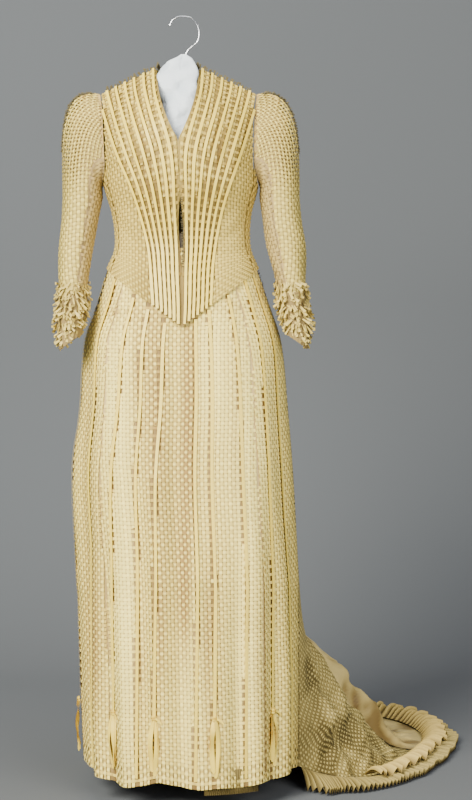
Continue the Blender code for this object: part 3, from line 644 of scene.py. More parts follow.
# a cloth: its colours, how rough and how sheeny it is, and which of the mesh's values it reads
def clothMaterial(name, look):
    material = bpy.data.materials.new(name)
    material.use_nodes = True
    nodes, links = material.node_tree.nodes, material.node_tree.links
    shader = nodes["Principled BSDF"]

    def value(key):
        return addNode(nodes, links, "ShaderNodeAttribute", attribute_name=key).outputs["Fac"]

    threads = addNode(nodes, links, "ShaderNodeGroup", node_tree=groups["threads"])
    for key in ("along", "across", "threads"):
        threads.inputs[key.capitalize()].default_value = look[key]
    colour = look["colour"]
    if "under" in look:  # woven: painted shade darkens what lies under and the level ribbons, less so where the net is painted in light
        pale = value("pale")
        under = mixColours(nodes, links, pale, look["under"], look["litUnder"])
        level = mixColours(nodes, links, pale, look["level"], colour)
        top = mixColours(nodes, links, value("upright"), level, colour)
        colour = mixColours(nodes, links, value("over"), under, top)
        vary = reckon(nodes, links, "MULTIPLY_ADD", value("strand"), 0.16)
        vary.node.inputs[2].default_value = 0.92
        varied = addNode(nodes, links, "ShaderNodeVectorMath", {0: colour, "Scale": vary}, operation="SCALE")
        colour = varied.outputs["Vector"]
    if "slot" in look:  # a lining: painted shade behind the slots, and painted light where the net is painted in light
        colour = mixColours(nodes, links, value("pale"), colour, look["pale"])
        colour = mixColours(nodes, links, value("slot"), colour, look["slot"])
    if look["streak"]:
        low = tuple(c * (1 - look["streak"]) for c in look["colour"])
        streaky = mixColours(nodes, links, threads.outputs["Streak"], low, look["colour"])
        colour = streaky if colour is look["colour"] else mixColours(nodes, links, 0.5, colour, streaky)
    agedAndShaded = addNode(nodes, links, "ShaderNodeGroup", node_tree=groups["agedAndShaded"])
    for key in ("colour", "shaded", "fading", "spots"):
        feed(links, agedAndShaded.inputs[key.capitalize()], colour if key == "colour" else look[key])
    if look["readsShade"]:
        links.new(value("shade"), agedAndShaded.inputs["Shade"])
    bump = addNode(nodes, links, "ShaderNodeBump",
                   {"Strength": look["bump"], "Distance": 0.0003, "Height": threads.outputs["Height"]})
    inputs = {"Base Color": agedAndShaded.outputs["Colour"], "Normal": bump.outputs["Normal"],
              "Roughness": look["rough"], "Sheen Weight": look["sheen"], "Sheen Roughness": 0.4,
              "Specular IOR Level": look["gloss"]}
    for key, given in inputs.items():
        feed(links, shader.inputs[key], given)
    material.use_backface_culling = False
    return material


plainCloth = {"along": 0.5, "across": 0.5, "threads": 3000.0, "streak": 0.0, "fading": 0.10, "spots": 0.15,
              "bump": 0.25, "rough": 0.75, "sheen": 0.05, "gloss": 0.25, "readsShade": False}
# cloth that also reads the mesh's shade
shadedCloth = {**plainCloth, "readsShade": True}
# painted shade: each cloth's shaded, under, level and slot colours and a lining's own colour; painted light:
# the pale colours of linings and of what lies under
clothLooks = {
    "netCloth": {**shadedCloth, "colour": (1.0, 0.83, 0.24), "level": (0.80, 0.60, 0.14),
                 "under": (0.54, 0.37, 0.08), "litUnder": (0.98, 0.79, 0.22),
                 "shaded": (0.36, 0.22, 0.06), "spots": 0.25},
    "bodiceNet": {**shadedCloth, "colour": (0.71, 0.54, 0.13), "level": (0.50, 0.35, 0.07),
                  "under": (0.32, 0.21, 0.04), "litUnder": (0.70, 0.52, 0.13),
                  "shaded": (0.15, 0.085, 0.02), "spots": 0.3, "fading": 0.16},
    "sleeveNet": {**shadedCloth, "colour": (0.72, 0.58, 0.15), "level": (0.54, 0.41, 0.09),
                  "under": (0.36, 0.25, 0.07), "litUnder": (0.66, 0.52, 0.2),
                  "shaded": (0.20, 0.13, 0.03), "spots": 0.3, "fading": 0.2},
    "bodiceLining": {**shadedCloth, "colour": (0.36, 0.255, 0.06), "pale": (0.60, 0.45, 0.13),
                     "slot": (0.21, 0.14, 0.03), "shaded": (0.20, 0.12, 0.03), "rough": 0.6},
    "netLining": {**shadedCloth, "colour": (0.46, 0.32, 0.11), "pale": (0.84, 0.64, 0.28),
                  "slot": (0.20, 0.12, 0.03), "shaded": (0.24, 0.15, 0.04), "rough": 0.6},
    "trainNet": {**shadedCloth, "colour": (0.64, 0.51, 0.17), "level": (0.35, 0.265, 0.08),
                 "under": (0.23, 0.17, 0.05), "litUnder": (0.6, 0.46, 0.2),
                 "shaded": (0.12, 0.085, 0.022), "spots": 0.45, "fading": 0.3},
    "trainLining": {**shadedCloth, "colour": (0.28, 0.215, 0.07), "pale": (0.42, 0.32, 0.16),
                    "slot": (0.12, 0.07, 0.02), "shaded": (0.12, 0.08, 0.02)},
    "tanNet": {**shadedCloth, "colour": (0.52, 0.39, 0.13), "level": (0.42, 0.30, 0.09),
               "under": (0.40, 0.28, 0.11), "litUnder": (0.5, 0.4, 0.2), "shaded": (0.26, 0.17, 0.06)},
    "tanLining": {**shadedCloth, "colour": (0.38, 0.27, 0.11), "pale": (0.42, 0.32, 0.16),
                  "slot": (0.12, 0.07, 0.02), "shaded": (0.16, 0.10, 0.03)},
    "silkRibbon": {**plainCloth, "colour": (0.98, 0.72, 0.10), "shaded": (0.45, 0.30, 0.08),
                   "streak": 0.25, "rough": 0.42, "gloss": 0.5, "along": 0.9, "across": 0.1,
                   "spots": 0.2},
    "trainSatin": {**shadedCloth, "colour": (0.64, 0.49, 0.17), "shaded": (0.17, 0.10, 0.02),
                   "streak": 0.15, "rough": 0.36, "gloss": 0.55, "bump": 0.15, "fading": 0.16},
    "waistSatin": {**shadedCloth, "colour": (0.62, 0.47, 0.22), "shaded": (0.03, 0.02, 0.01),
                   "rough": 0.5},
    "frillNet": {**shadedCloth, "colour": (0.40, 0.305, 0.095), "shaded": (0.07, 0.045, 0.01),
                 "streak": 0.3, "rough": 0.65, "spots": 0.3},
    "rucheNet": {**shadedCloth, "colour": (0.58, 0.42, 0.12), "shaded": (0.10, 0.06, 0.01),
                 "streak": 0.25, "rough": 0.6, "spots": 0.3},
    "cuffPetals": {**plainCloth, "colour": (0.66, 0.50, 0.13), "shaded": (0.36, 0.24, 0.08),
                   "streak": 0.3, "rough": 0.5, "gloss": 0.4},
    # the cuff's band under its loops is painted dark as shade among them
    "cuffBand": {**plainCloth, "colour": (0.26, 0.18, 0.06), "shaded": (0.1, 0.07, 0.03)},
    # edging loops and loops at the hips, painted dark as trim in shade
    "loopsInShade": {**plainCloth, "colour": (0.13, 0.105, 0.05), "shaded": (0.08, 0.06, 0.03),
                   "streak": 0.2},
    "hipLoopsInShade": {**plainCloth, "colour": (0.10, 0.065, 0.025), "shaded": (0.04, 0.03, 0.01)},
    "whiteTissue": {**shadedCloth, "colour": (0.66, 0.71, 0.75), "shaded": (0.24, 0.30, 0.36),
                    "fading": 0.05, "spots": 0.0, "rough": 0.85},
}
materials = {name: clothMaterial(name, look) for name, look in clothLooks.items()}


def chromeMaterial():
    material = bpy.data.materials.new("brightWire")
    material.use_nodes = True
    nodes, links = material.node_tree.nodes, material.node_tree.links
    shader = nodes["Principled BSDF"]
    shader.inputs["Metallic"].default_value = 1
    place = nodes.new("ShaderNodeTexCoord").outputs["Object"]
    worn = addNode(nodes, links, "ShaderNodeTexNoise", {"Scale": 120, "Vector": place}).outputs["Fac"]
    colour = mixColours(nodes, links, worn, (0.62, 0.63, 0.66), (0.86, 0.87, 0.90))
    links.new(colour, shader.inputs["Base Color"])
    rough = addNode(nodes, links, "ShaderNodeMapRange", {"To Min": 0.12, "To Max": 0.34, "Value": worn})
    links.new(rough.outputs["Result"], shader.inputs["Roughness"])
    return material


materials["brightWire"] = chromeMaterial()
print("materials made")

# the bodice: rows of its front and back, and of its sides
bodice = {
    "rows": table(
        "row frontX frontDrop backX backDrop outerDrop",
        (0, 0.0415, 0.0945, 0.0415, 0.0945, 0.1425),
        (1, 0.0385, 0.120, 0.0260, 0.105, 0.168),
        (2, 0.0320, 0.155, 0.0006, 0.114, 0.200),
        (3, 0.0220, 0.186, 0.0006, 0.160, 0.232),
        (4, 0.0100, 0.214, 0.0006, 0.210, 0.258),
        (5, 0.0003, 0.236, 0.0006, 0.250, 0.275),
        (6, 0.0003, 0.285, 0.0006, 0.300, 0.315),
        (7, 0.0003, 0.332, 0.0006, 0.345, 0.352),
        (8, 0.0036, 0.370, 0.0006, 0.385, 0.385),
        (9, 0.0042, 0.405, 0.0006, 0.412, 0.410),
        (10, 0.0026, 0.438, 0.0006, 0.438, 0.432),
        (11, 0.0003, 0.470, 0.0006, 0.462, 0.448),
        (12, 0.0003, 0.520, 0.0006, 0.482, 0.462),
        (13, 0.0003, 0.574, 0.0006, 0.500, 0.4765),
    ),
    "sideRows": table(
        "row drop dip",
        (0, 0.275, 0.040),
        (1, 0.315, 0.016),
        (2, 0.352, 0.005),
        (3, 0.385, 0.000),
        (4, 0.410, 0.000),
        (5, 0.432, 0.000),
        (6, 0.448, 0.000),
        (7, 0.462, -0.004),
        (8, 0.4765, -0.0075),
    ),
    "armhole": table(
        "drop share",
        (0.1425, 0.935),
        (0.168, 0.911),
        (0.200, 0.901),
        (0.232, 0.904),
        (0.258, 0.915),
        (0.275, 0.925),
        (0.293, 0.955),
        (0.305, 0.981),
        (0.312, 0.996),
        (0.315, 1.000),
    ),
    "armTop": 0.1425,
    "armLow": 0.315,
    "armholeEnd": 0.2751,
    # creases: x, drop at both ends, half width, height
    "creases": (
        (0.110, 0.180, 0.066, 0.300, 0.007, -0.0022),
        (0.120, 0.210, 0.074, 0.380, 0.008, 0.0016),
        (-0.104, 0.200, -0.066, 0.330, 0.007, -0.0018),
        (-0.086, 0.180, -0.050, 0.300, 0.007, 0.0014),
        (0.088, 0.160, 0.050, 0.300, 0.006, -0.0016),
        (-0.118, 0.350, -0.080, 0.400, 0.008, 0.0012),
        (0.118, 0.352, 0.084, 0.402, 0.008, 0.0012),
        (-0.120, 0.385, -0.070, 0.430, 0.007, -0.0012),
        (0.122, 0.382, 0.070, 0.428, 0.007, -0.0012),
    ),
}


# raises cloth along listed lines, and sinks it where a crease's height is below 0
def creased(x, drop, creases):
    height = np.zeros(np.broadcast(x, drop).shape)
    for x0, drop0, x1, drop1, wide, high in creases:
        way = np.array([x1 - x0, drop1 - drop0])
        long_ = np.linalg.norm(way)
        way = way / long_
        s = ((x - x0) * way[0] + (drop - drop0) * way[1]) / long_
        off = (x - x0) * way[1] - (drop - drop0) * way[0]
        height = height + high * np.exp(-((off / wide) ** 2)) * np.sin(math.pi * np.clip(s, 0, 1)) ** 0.8
    return height


def bodiceCloth(x, drop, facing, lift=0.0):
    points = bodicePoint(x, drop, facing, lift)
    if facing < 0:
        points[..., 1] -= creased(points[..., 0], drop, bodice["creases"])
    return points


def bodicePanel(side, facing):
    rows, which = bodice["rows"], "front" if facing < 0 else "back"
    end = len(rows["row"]) - 1

    def surface(s, t):
        row = np.asarray(t) * end
        outerDrop = smooth(rows, "row", "outerDrop", row)
        share = smooth(bodice["armhole"], "drop", "share", outerDrop)
        share = np.where(outerDrop < bodice["armholeEnd"], share, form["sideShare"])
        outerX = share * section("width", outerDrop)
        x = smooth(rows, "row", f"{which}X", row) * (1 - s) + outerX * s
        drop = smooth(rows, "row", f"{which}Drop", row) * (1 - s) + outerDrop * s
        return bodiceCloth(side * x, drop, facing)

    return surface


def bodiceSide(side):
    rows = bodice["sideRows"]
    edge = math.degrees(math.asin(form["sideShare"] ** (form["round"] / 2)))

    def surface(s, t):
        angle = edge + (180 - 2 * edge) * np.asarray(s)
        row = np.asarray(t) * (len(rows["row"]) - 1)
        middle = 1 - ((angle - 90) / (90 - edge)) ** 2
        drop = smooth(rows, "row", "drop", row) + smooth(rows, "row", "dip", row) * middle
        return roundForm(side * angle, drop)

    return surface


# ribbons that fan from the shoulders to the basque's point
fan = {
    "count": 7,
    "width": 0.0066,
    "lift": 0.0023,
    "lines": table(
        "drop first last",
        (0.090, 0.046, 0.160),
        (0.142, 0.042, 0.150),
        (0.175, 0.034, 0.1400),
        (0.251, 0.0145, 0.1150),
        (0.346, 0.0110, 0.0800),
        (0.422, 0.0095, 0.0620),
        (0.536, 0.0065, 0.0525),
        (0.580, 0.0055, 0.0500),
    ),
}


def fanReach(k, drop):
    share = k / (fan["count"] - 1)
    first, last = (smooth(fan["lines"], "drop", end, drop) for end in ("first", "last"))
    return first * (1 - share) + last * share


# a flat ribbon along a line of points: a little arched, its edges bound, its width wandering a little
ribbonShape = {"arch": 0.0006, "bound": 0.8, "columns": 5, "widths": (0.84, 1.06, 9)}


def ribbon(name, middle, out, width, seed):
    random = np.random.default_rng(seed)
    across = unit(np.cross(unit(np.gradient(middle, axis=0)), out))
    run = runAlong(middle)
    arch, count = ribbonShape["arch"], ribbonShape["widths"][2]
    half = width / 2 * np.interp(run, np.linspace(0, run[-1], count), random.uniform(*ribbonShape["widths"]))
    s = np.linspace(-1, 1, ribbonShape["columns"])
    high = arch * (1 - s**2) + arch * ribbonShape["bound"] * (np.abs(s) > 0.9)
    points = middle[:, None] + across[:, None] * (s[None, :, None] * half[:, None, None])
    points = points + out[:, None] * high[None, :, None]
    maps = {"threads": pairs(s[None] * half[:, None], run[:, None]),
            "OFBake": pairs(0.5 + 0.49 * s[None], 0.01 + 0.98 * run[:, None] / run[-1])}
    quads = gridFaces(len(middle), len(s))
    return meshPiece(name, points.reshape(-1, 3), quads, materials["silkRibbon"], None, maps)


def addFanRibbons(side, lay):
    label = "left" if side < 0 else "right"
    points, across = lay["points"], lay["across"]
    pieces = []
    for k in range(fan["count"]):
        line = []
        for r in range(len(points)):
            drop = -points[r, :, 2]
            off = np.abs(points[r, :, 0] - section("shift", drop)) - fanReach(k, drop)
            inside = off[0] < 0 < off[-1]
            line.append(np.interp(0, off, across[r]) if inside else np.nan)
        line = np.array(line)
        rows = np.flatnonzero(~np.isnan(line))
        lay["lines"].append(np.where(np.isnan(line), 9.0, line))
        fractional = np.linspace(rows[0] + 0.1, rows[-1] - 0.1, 90)
        at = np.interp(fractional, rows, line[rows])
        read = [readCloth(lay, np.array([r]), np.array([a])) for r, a in zip(fractional, at)]
        middle, out = np.array([r[0][0, 0] for r in read]), np.array([r[1][0, 0] for r in read])
        name = f"fan_ribbon_{label}_{k + 1}"
        narrow = fan["width"] * (0.78 + 0.16 * np.exp(-(((-middle[:, 2] - 0.24) / 0.06) ** 2)))
        piece = ribbon(f"{name}_silk", middle + out * fan["lift"], out, narrow, 100 + k + 10 * side)
        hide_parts(name)
        pieces.append(piece)
    return pieces


def addNetPanel(node, lay, seed, net, under, rests=("hanger_bar",), trims=()):
    top = weave(f"{node}_net", lay, materials[net], seed)
    base = lining(f"{node}_lining", lay, materials[under])
    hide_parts(node)


for side, label in ((-1, "left"), (1, "right")):
    front = layOut(bodicePanel(side, -1), grain=0.4)
    trims = addFanRibbons(side, front)
    addNetPanel(f"bodice_front_{label}", front, 10 + side, "bodiceNet", "bodiceLining", trims=trims)
    addNetPanel(f"bodice_side_{label}", layOut(bodiceSide(side)), 20 + side, "bodiceNet", "bodiceLining")
    addNetPanel(f"bodice_back_{label}", layOut(bodicePanel(side, 1), grain=0.4), 30 + side, "bodiceNet",
                "bodiceLining")
print("bodice dressed")

# sleeves: two pieces each, puffed at the head and close on the forearm
sleeves = {
    "rows": {
        -1: table(
            "drop x halfWidth y halfDepth",
            (0.335, 0.1845, 0.0370, -0.004, 0.052),
            (0.367, 0.1880, 0.0345, -0.010, 0.050),
            (0.424, 0.1950, 0.0315, -0.026, 0.046),
            (0.481, 0.1990, 0.0280, -0.048, 0.040),
            (0.538, 0.2000, 0.0225, -0.070, 0.032),
            (0.580, 0.2040, 0.0210, -0.084, 0.030),
            (0.640, 0.2000, 0.0150, -0.098, 0.026),
        ),
        1: table(
            "drop x halfWidth y halfDepth",
            (0.335, 0.1845, 0.0370, -0.004, 0.052),
            (0.367, 0.1880, 0.0360, -0.008, 0.050),
            (0.424, 0.1965, 0.0360, -0.018, 0.046),
            (0.481, 0.2040, 0.0290, -0.030, 0.040),
            (0.538, 0.2090, 0.0225, -0.042, 0.032),
            (0.580, 0.2180, 0.0210, -0.052, 0.030),
            (0.640, 0.2120, 0.0150, -0.062, 0.026),
        ),
    },
    "headEnd": 0.42,  # share of the sleeve's length that the head takes
    "cuffDrop": 0.580,
    "seam": 115,
    "gathers": 22,
    "gatherHeight": 0.0022,
    "gatherEnd": 0.75,  # share of the head
    "foldHeight": 0.0016,
    # how far the head runs on out of the armhole and into the arm, at its low side and more at its top
    "puff": {"leave": (0.012, 0.238), "arrive": (0.02, 0.28), "middle": 0.172, "upward": 0.7},
    # the lining's depth inside the head's net, over which angle, and where it begins and ends down the sleeve
    "inset": {"depth": 0.0125, "angle": 60, "from": 0.03, "begins": 0.10, "to": 0.56, "ends": 0.22},
    # the head's level and upright ribbons are narrower, down to this share of the sleeve's length
    "narrower": {"end": 0.50, "over": 0.14, "by": 0.40},
}


def armhole(side, angle):
    a = np.radians(angle)
    middle, half = (bodice["armTop"] + bodice["armLow"]) / 2, (bodice["armLow"] - bodice["armTop"]) / 2
    drop = middle - half * np.cos(a)
    x = smooth(bodice["armhole"], "drop", "share", drop) * section("width", drop)
    front, back = bodicePoint(side * x, drop, -1), bodicePoint(side * x, drop, 1)
    points = np.where((np.sin(a) > 0)[..., None], front, back)
    points[..., 0] += side * 0.0016
    return points


def sleeveRing(side, angle, drop, lift=0.0):
    rows, a = sleeves["rows"][side], np.radians(angle)
    x = smooth(rows, "drop", "x", drop) + (smooth(rows, "drop", "halfWidth", drop) + lift) * np.cos(a)
    y = smooth(rows, "drop", "y", drop) - (smooth(rows, "drop", "halfDepth", drop) + lift) * np.sin(a)
    return np.stack([side * x, y, -drop + 0 * x], axis=-1)


def sleevePanel(side, first, last):
    firstDrop, puff = sleeves["rows"][side]["drop"][0], sleeves["puff"]

    def surface(s, t):
        s, t = np.broadcast_arrays(np.asarray(s, float), np.asarray(t, float))
        angle = first + (last - first) * s
        start, end = armhole(side, angle), sleeveRing(side, angle, np.full(angle.shape, firstDrop))
        top = ((1 + np.cos(np.radians(angle))) / 2)[..., None]
        leave = np.array([side * 1.0, 0, 0.2]) * (puff["leave"][0] + puff["leave"][1] * top)
        arrive = np.array([0, 0, -1.0]) * (puff["arrive"][0] + puff["arrive"][1] * top)
        h = np.clip(t / sleeves["headEnd"], 0, 1)[..., None]
        head = (2 * h**3 - 3 * h**2 + 1) * start + (h**3 - 2 * h**2 + h) * leave
        head = head + (3 * h**2 - 2 * h**3) * end + (h**3 - h**2) * arrive
        below = np.clip((t - sleeves["headEnd"]) / (1 - sleeves["headEnd"]), 0, 1)
        drop = firstDrop + (sleeves["cuffDrop"] - firstDrop) * below
        points = np.where((t < sleeves["headEnd"])[..., None], head, sleeveRing(side, angle, drop))
        out = unit(points - (side * puff["middle"], 0, 0) - points * (0, 0, puff["upward"]))
        gather = np.cos(np.radians(angle) * sleeves["gathers"])
        gather = gather * np.sin(math.pi * np.clip(h[..., 0] / sleeves["gatherEnd"], 0, 1))
        folds = sleeves["foldHeight"] * np.sin(angle / 13 + drop * 60) * ease(below * 3)
        return points + out * (gather * sleeves["gatherHeight"] * top[..., 0] + folds)[..., None]

    return surface


# at its outer edge the puffed head is net alone: there the lining lies well inside
def headInset(s, t):
    angle = (2 * s - 1) * sleeves["seam"]
    inset = sleeves["inset"]
    along = ease((t - inset["from"]) / inset["begins"]) * ease((inset["to"] - t) / inset["ends"])
    return inset["depth"] * np.exp(-((angle / inset["angle"]) ** 2)) * along


# rows of the cuff's loops: drop, slant, lift, loop length, how far they stand out
cuff = {
    "rows": (
        (0.496, 0.000, 0.0010, 0.012, 0.005),
        (0.505, 0.000, 0.0015, 0.012, 0.006),
        (0.514, 0.001, 0.0025, 0.013, 0.006),
        (0.524, 0.002, 0.0030, 0.013, 0.007),
        (0.534, 0.004, 0.0035, 0.014, 0.007),
        (0.544, 0.006, 0.0040, 0.014, 0.007),
        (0.555, 0.008, 0.0040, 0.014, 0.007),
        (0.566, 0.011, 0.0035, 0.014, 0.006),
        (0.577, 0.014, 0.0020, 0.015, 0.005),
        (0.588, 0.017, 0.0000, 0.016, 0.004),
    ),
    "around": 34,
    "width": 0.0050,
}


# a loop of narrow ribbon that leaves its root, bulges out and comes back
def loopStrip(root, down, out, length, stand, width, turn, steps=9):
    across = np.cross(down, out)
    down = down * math.cos(turn) + across * math.sin(turn)
    across = np.cross(down, out)
    a = np.linspace(0, 1, steps)
    reach = np.sin(a * math.pi) ** 0.75
    forward = np.where(a < 0.5, 0.55 * reach, reach) + 0.12 * a
    middle = root + down * (reach * length)[:, None] + out * (forward * stand)[:, None]
    half = width / 2 * (0.55 + 0.45 * np.sin(a * math.pi))
    return stripEdges(middle, across, half[:, None])


# many small strips as one piece
def stripPiece(name, strips, material):
    points, quads, threads, bake, count = [], [], [], [], 0
    wide = math.ceil(math.sqrt(len(strips) * 4))
    high = math.ceil(len(strips) / wide)
    for n, strip in enumerate(strips):
        rows, columns = strip.shape[:2]
        run = runAlong(strip[:, 0])
        points.append(strip.reshape(-1, 3))
        quads.append(gridFaces(rows, columns, first=count))
        count += rows * columns
        s = np.linspace(0, 1, columns)
        threads.append(pairs(s[None] * 0.006 + n * 0.013, run[:, None] + n * 0.07))
        cell = np.array([n % wide, n // wide]) + 0.1
        place = pairs(s[None] * 0.8, np.linspace(0, 0.8, rows)[:, None]) + cell
        bake.append(place / (wide, high))
    maps = {"threads": np.concatenate(threads), "OFBake": np.concatenate(bake)}
    piece = meshPiece(name, np.concatenate(points), np.concatenate(quads), material, None, maps)
    return piece


def addCuff(side, label):
    random = np.random.default_rng(50 + side)
    strips = []
    for row, (drop, slant, lift, length, stand) in enumerate(cuff["rows"]):
        for k in range(cuff["around"]):
            angle = (k + 0.5 * (row % 2) + random.uniform(-0.25, 0.25)) * 360 / cuff["around"]
            at = drop + slant * math.cos(math.radians(angle)) + random.uniform(-0.004, 0.004)
            root = sleeveRing(side, np.array(angle), np.array(at), lift)
            out = unit(root - sleeveRing(side, np.array(angle), np.array(at), -0.008))
            below = sleeveRing(side, np.array(angle), np.array(at + 0.01))
            down = unit(below - sleeveRing(side, np.array(angle), np.array(at)))
            reach = length * random.uniform(0.75, 1.1)
            forward = stand * random.uniform(0.6, 1.4)
            width = cuff["width"] * random.uniform(0.5, 1.3)
            strips.append(loopStrip(root, down, out, reach, forward, width, random.uniform(-1.3, 1.3)))
    name = f"cuff_frill_{label}"
    piece = stripPiece(f"{name}_loops", strips, materials["cuffPetals"])
    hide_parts(name)
    # a band under the loops, painted dark as the shade among them
    drops = np.linspace(0.512, 0.604, 10)
    angles = np.linspace(0, 360, 49)
    rows = []
    for drop in drops:
        wave = 0.0018 * np.sin(np.radians(angles) * 20) * (drop - 0.512) / 0.08
        slanted = drop + 0.012 * np.cos(np.radians(angles)) * (drop - 0.512) / 0.08
        rows.append(sleeveRing(side, angles, slanted, 0.002 + wave))
    grid = np.array(rows)
    maps = clothMaps(angles / 360 * 0.16, (drops - drops[0])[:, None])
    quads = gridFaces(*grid.shape[:2])
    base = meshPiece(f"{name}_band", grid.reshape(-1, 3), quads, materials["cuffBand"], None, maps)


narrower = sleeves["narrower"]
for side, label in ((-1, "left"), (1, "right")):
    upper = layLevel(sleevePanel(side, -sleeves["seam"], sleeves["seam"]), (side * 0.18, 0))
    upper["inset"] = headInset
    upper["thin"] = 1 - narrower["by"] * ease((narrower["end"] - upper["rows"]) / narrower["over"])
    addNetPanel(f"sleeve_upper_{label}", upper, 40 + side, "sleeveNet", "netLining")
    under = layLevel(sleevePanel(side, sleeves["seam"], 360 - sleeves["seam"]), (side * 0.18, 0))
    addNetPanel(f"sleeve_under_{label}", under, 44 + side, "tanNet", "tanLining")
    addCuff(side, label)
print("sleeves dressed")

# the skirt: straight down in front, swept over the floor behind
skirt = {
    "under": -0.005,
    "top": 0.431,
    "knee": 1.050,
    "kneeShare": 0.62,
    "hemRise": 0.046,
    "train": table(
        "angle x y rise",
        (84, 0.222, -0.025, 0.046),
        (93, 0.270, -0.004, 0.026),
        (102, 0.325, 0.014, 0.014),
        (112, 0.375, 0.055, 0.009),
        (122, 0.420, 0.135, 0.008),
        (132, 0.455, 0.220, 0.008),
        (143, 0.488, 0.330, 0.008),
        (155, 0.490, 0.440, 0.008),
        (167, 0.448, 0.545, 0.008),
        (180, 0.355, 0.615, 0.008),
        (195, 0.210, 0.625, 0.008),
        (210, 0.055, 0.545, 0.008),
        (225, -0.070, 0.410, 0.008),
        (238, -0.150, 0.265, 0.010),
        (250, -0.182, 0.140, 0.024),
        (260, -0.183, 0.048, 0.046),
    ),
    # a ridge has a height above 0, a trough one below 0
    "folds": table(
        "angle spread height first last",
        (-85, 12, 0.005, 0.34, 0.66),
        (-65, 9, -0.010, 0.12, 0.85),
        (-12, 8, -0.006, 0.12, 0.42),
        (5, 7, -0.012, 0.10, 0.60),
        (33, 8, 0.005, 0.10, 0.70),
        (62, 9, -0.006, 0.20, 0.80),
        (100, 5, 0.014, 0.68, 0.98),
        (117, 6, 0.034, 0.66, 0.96),
        (131, 5, 0.018, 0.70, 0.97),
        (146, 6, 0.040, 0.55, 0.93),
        (157, 5, -0.022, 0.00, 0.62),
        (163, 5, 0.030, 0.62, 0.96),
        (170, 5, -0.024, 0.00, 0.66),
        (183, 5, -0.024, 0.00, 0.66),
        (188, 6, 0.034, 0.62, 0.96),
        (196, 5, -0.024, 0.00, 0.66),
        (209, 5, -0.022, 0.00, 0.62),
        (206, 5, 0.026, 0.62, 0.95),
        (224, 6, 0.020, 0.60, 0.95),
    ),
    # finer creases that only the cloth has, down to the hem
    "drape": table(
        "angle spread height first last",
        (-88, 5, 0.006, 0.50, 1.30),
        (-70, 5, -0.008, 0.45, 1.35),
        (-56, 5, 0.008, 0.55, 1.35),
        (-44, 4, -0.008, 0.50, 1.35),
        (-33, 4, 0.008, 0.55, 1.40),
        (-22, 4, -0.009, 0.20, 1.35),
        (-12, 4, 0.006, 0.30, 1.35),
        (-3, 4, -0.010, 0.06, 1.20),
        (4, 3, 0.006, 0.15, 1.00),
        (13, 5, 0.006, 0.60, 1.40),
        (24, 4, -0.007, 0.50, 1.35),
        (36, 5, 0.007, 0.50, 1.35),
        (48, 5, -0.006, 0.40, 1.35),
        (60, 5, 0.007, 0.50, 1.35),
        (72, 5, -0.006, 0.50, 1.20),
    ),
    # how much the hem dips or lifts round the front
    "hemLine": table(
        "angle rise",
        (-100, 0.010),
        (-80, 0.008),
        (-64, 0.003),
        (-50, 0.001),
        (-34, -0.005),
        (-22, 0.001),
        (-14, 0.009),
        (-7, 0.004),
        (2, -0.004),
        (14, -0.001),
        (24, -0.004),
        (38, 0.001),
        (52, 0.001),
        (66, 0.006),
        (84, 0.000),
    ),
    # angles from and to at the waist, and the same at the hem
    "panels": {
        "skirt_side_left": (-100, -46, -100, -46),
        "skirt_front": (-46, 40, -46, 40),
        "skirt_side_right": (40, 84, 40, 84),
        "train_net_right": (84, 114, 84, 138),
        "train_satin_right": (114, 176, 138, 176),
        "train_satin_left": (176, 214, 176, 214),
        "train_net_left": (214, 260, 214, 260),
    },
    "ribbons": table(
        "top low loop",
        (-80, -86, 0.100),
        (-56, -60, 0),
        (-31, -43, 0.104),
        (-19, -27, 0),
        (-7, -16, 0.108),
        (8, 2, 0),
        (16, 11, 0.110),
        (31, 28, 0),
        (50, 48, 0.104),
        (64, 64, 0),
    ),
    "slotScale": (0.6, 0.8, 0.7, 1.0, 1.2, 0.9, 0.7, 0.5, 0.5, 0.5),
    "ribbonWidth": 0.0060,
    "ribbonLift": 0.0026,
    "basquePoint": 0.574,
    "knot": 1.282,
    "ribbonEnd": 1.396,
    "hemRows": 6,
    "trainSize": 0.76,  # of the train's net to the skirt's
    # from which share of the length and which angle the train is crumpled, and how far each takes to begin
    "crushed": {"from": 0.68, "over": 0.12, "hemOver": 0.06, "angle": 88, "angleOver": 10},
    "hemDip": {"from": 0.86, "over": 0.14},
    "offFloor": 0.0030,
}


def hemPoint(angle):
    ring = roundForm(angle, floorDrop - skirt["hemRise"], skirt["under"])
    train = np.stack([smooth(skirt["train"], "angle", key, angle) for key in ("x", "y", "rise")], axis=-1)
    train = train - (0, 0, floorDrop)
    return np.where((angle > skirt["train"]["angle"][0])[..., None], train, ring)


def skirtPoint(angle, share):
    angle, share = np.broadcast_arrays(np.asarray(angle, float), np.asarray(share, float))
    drop = skirt["top"] + (skirt["knee"] - skirt["top"]) * np.clip(share / skirt["kneeShare"], 0, 1)
    upper = roundForm(angle, drop, skirt["under"])
    hem = hemPoint(angle)
    knee = roundForm(angle, np.full_like(angle, skirt["knee"]), skirt["under"])
    s = np.clip((share - skirt["kneeShare"]) / (1 - skirt["kneeShare"]), 0, 1)
    swept = ease(np.linalg.norm((hem - knee)[..., :2], axis=-1) / 0.15)
    across = s * (1 - swept) + s * ease(s / 0.35) * swept
    fallen = s + swept * (s - s * s)
    lower = knee + (hem - knee) * np.stack([across, across, fallen], axis=-1)
    return np.where((share < skirt["kneeShare"])[..., None], upper, lower)


def foldHeight(angle, share):
    height = np.zeros(np.broadcast(angle, share).shape)
    creases = [*zip(*skirt["folds"].values()), *zip(*skirt["drape"].values())]
    for a, spread, depth, first, last in creases:
        middle = np.clip((share - first) / (last - first), 0, 1)
        height = height + depth * np.exp(-(((angle - a) / spread) ** 2)) * np.sin(math.pi * middle) ** 0.7
    return height


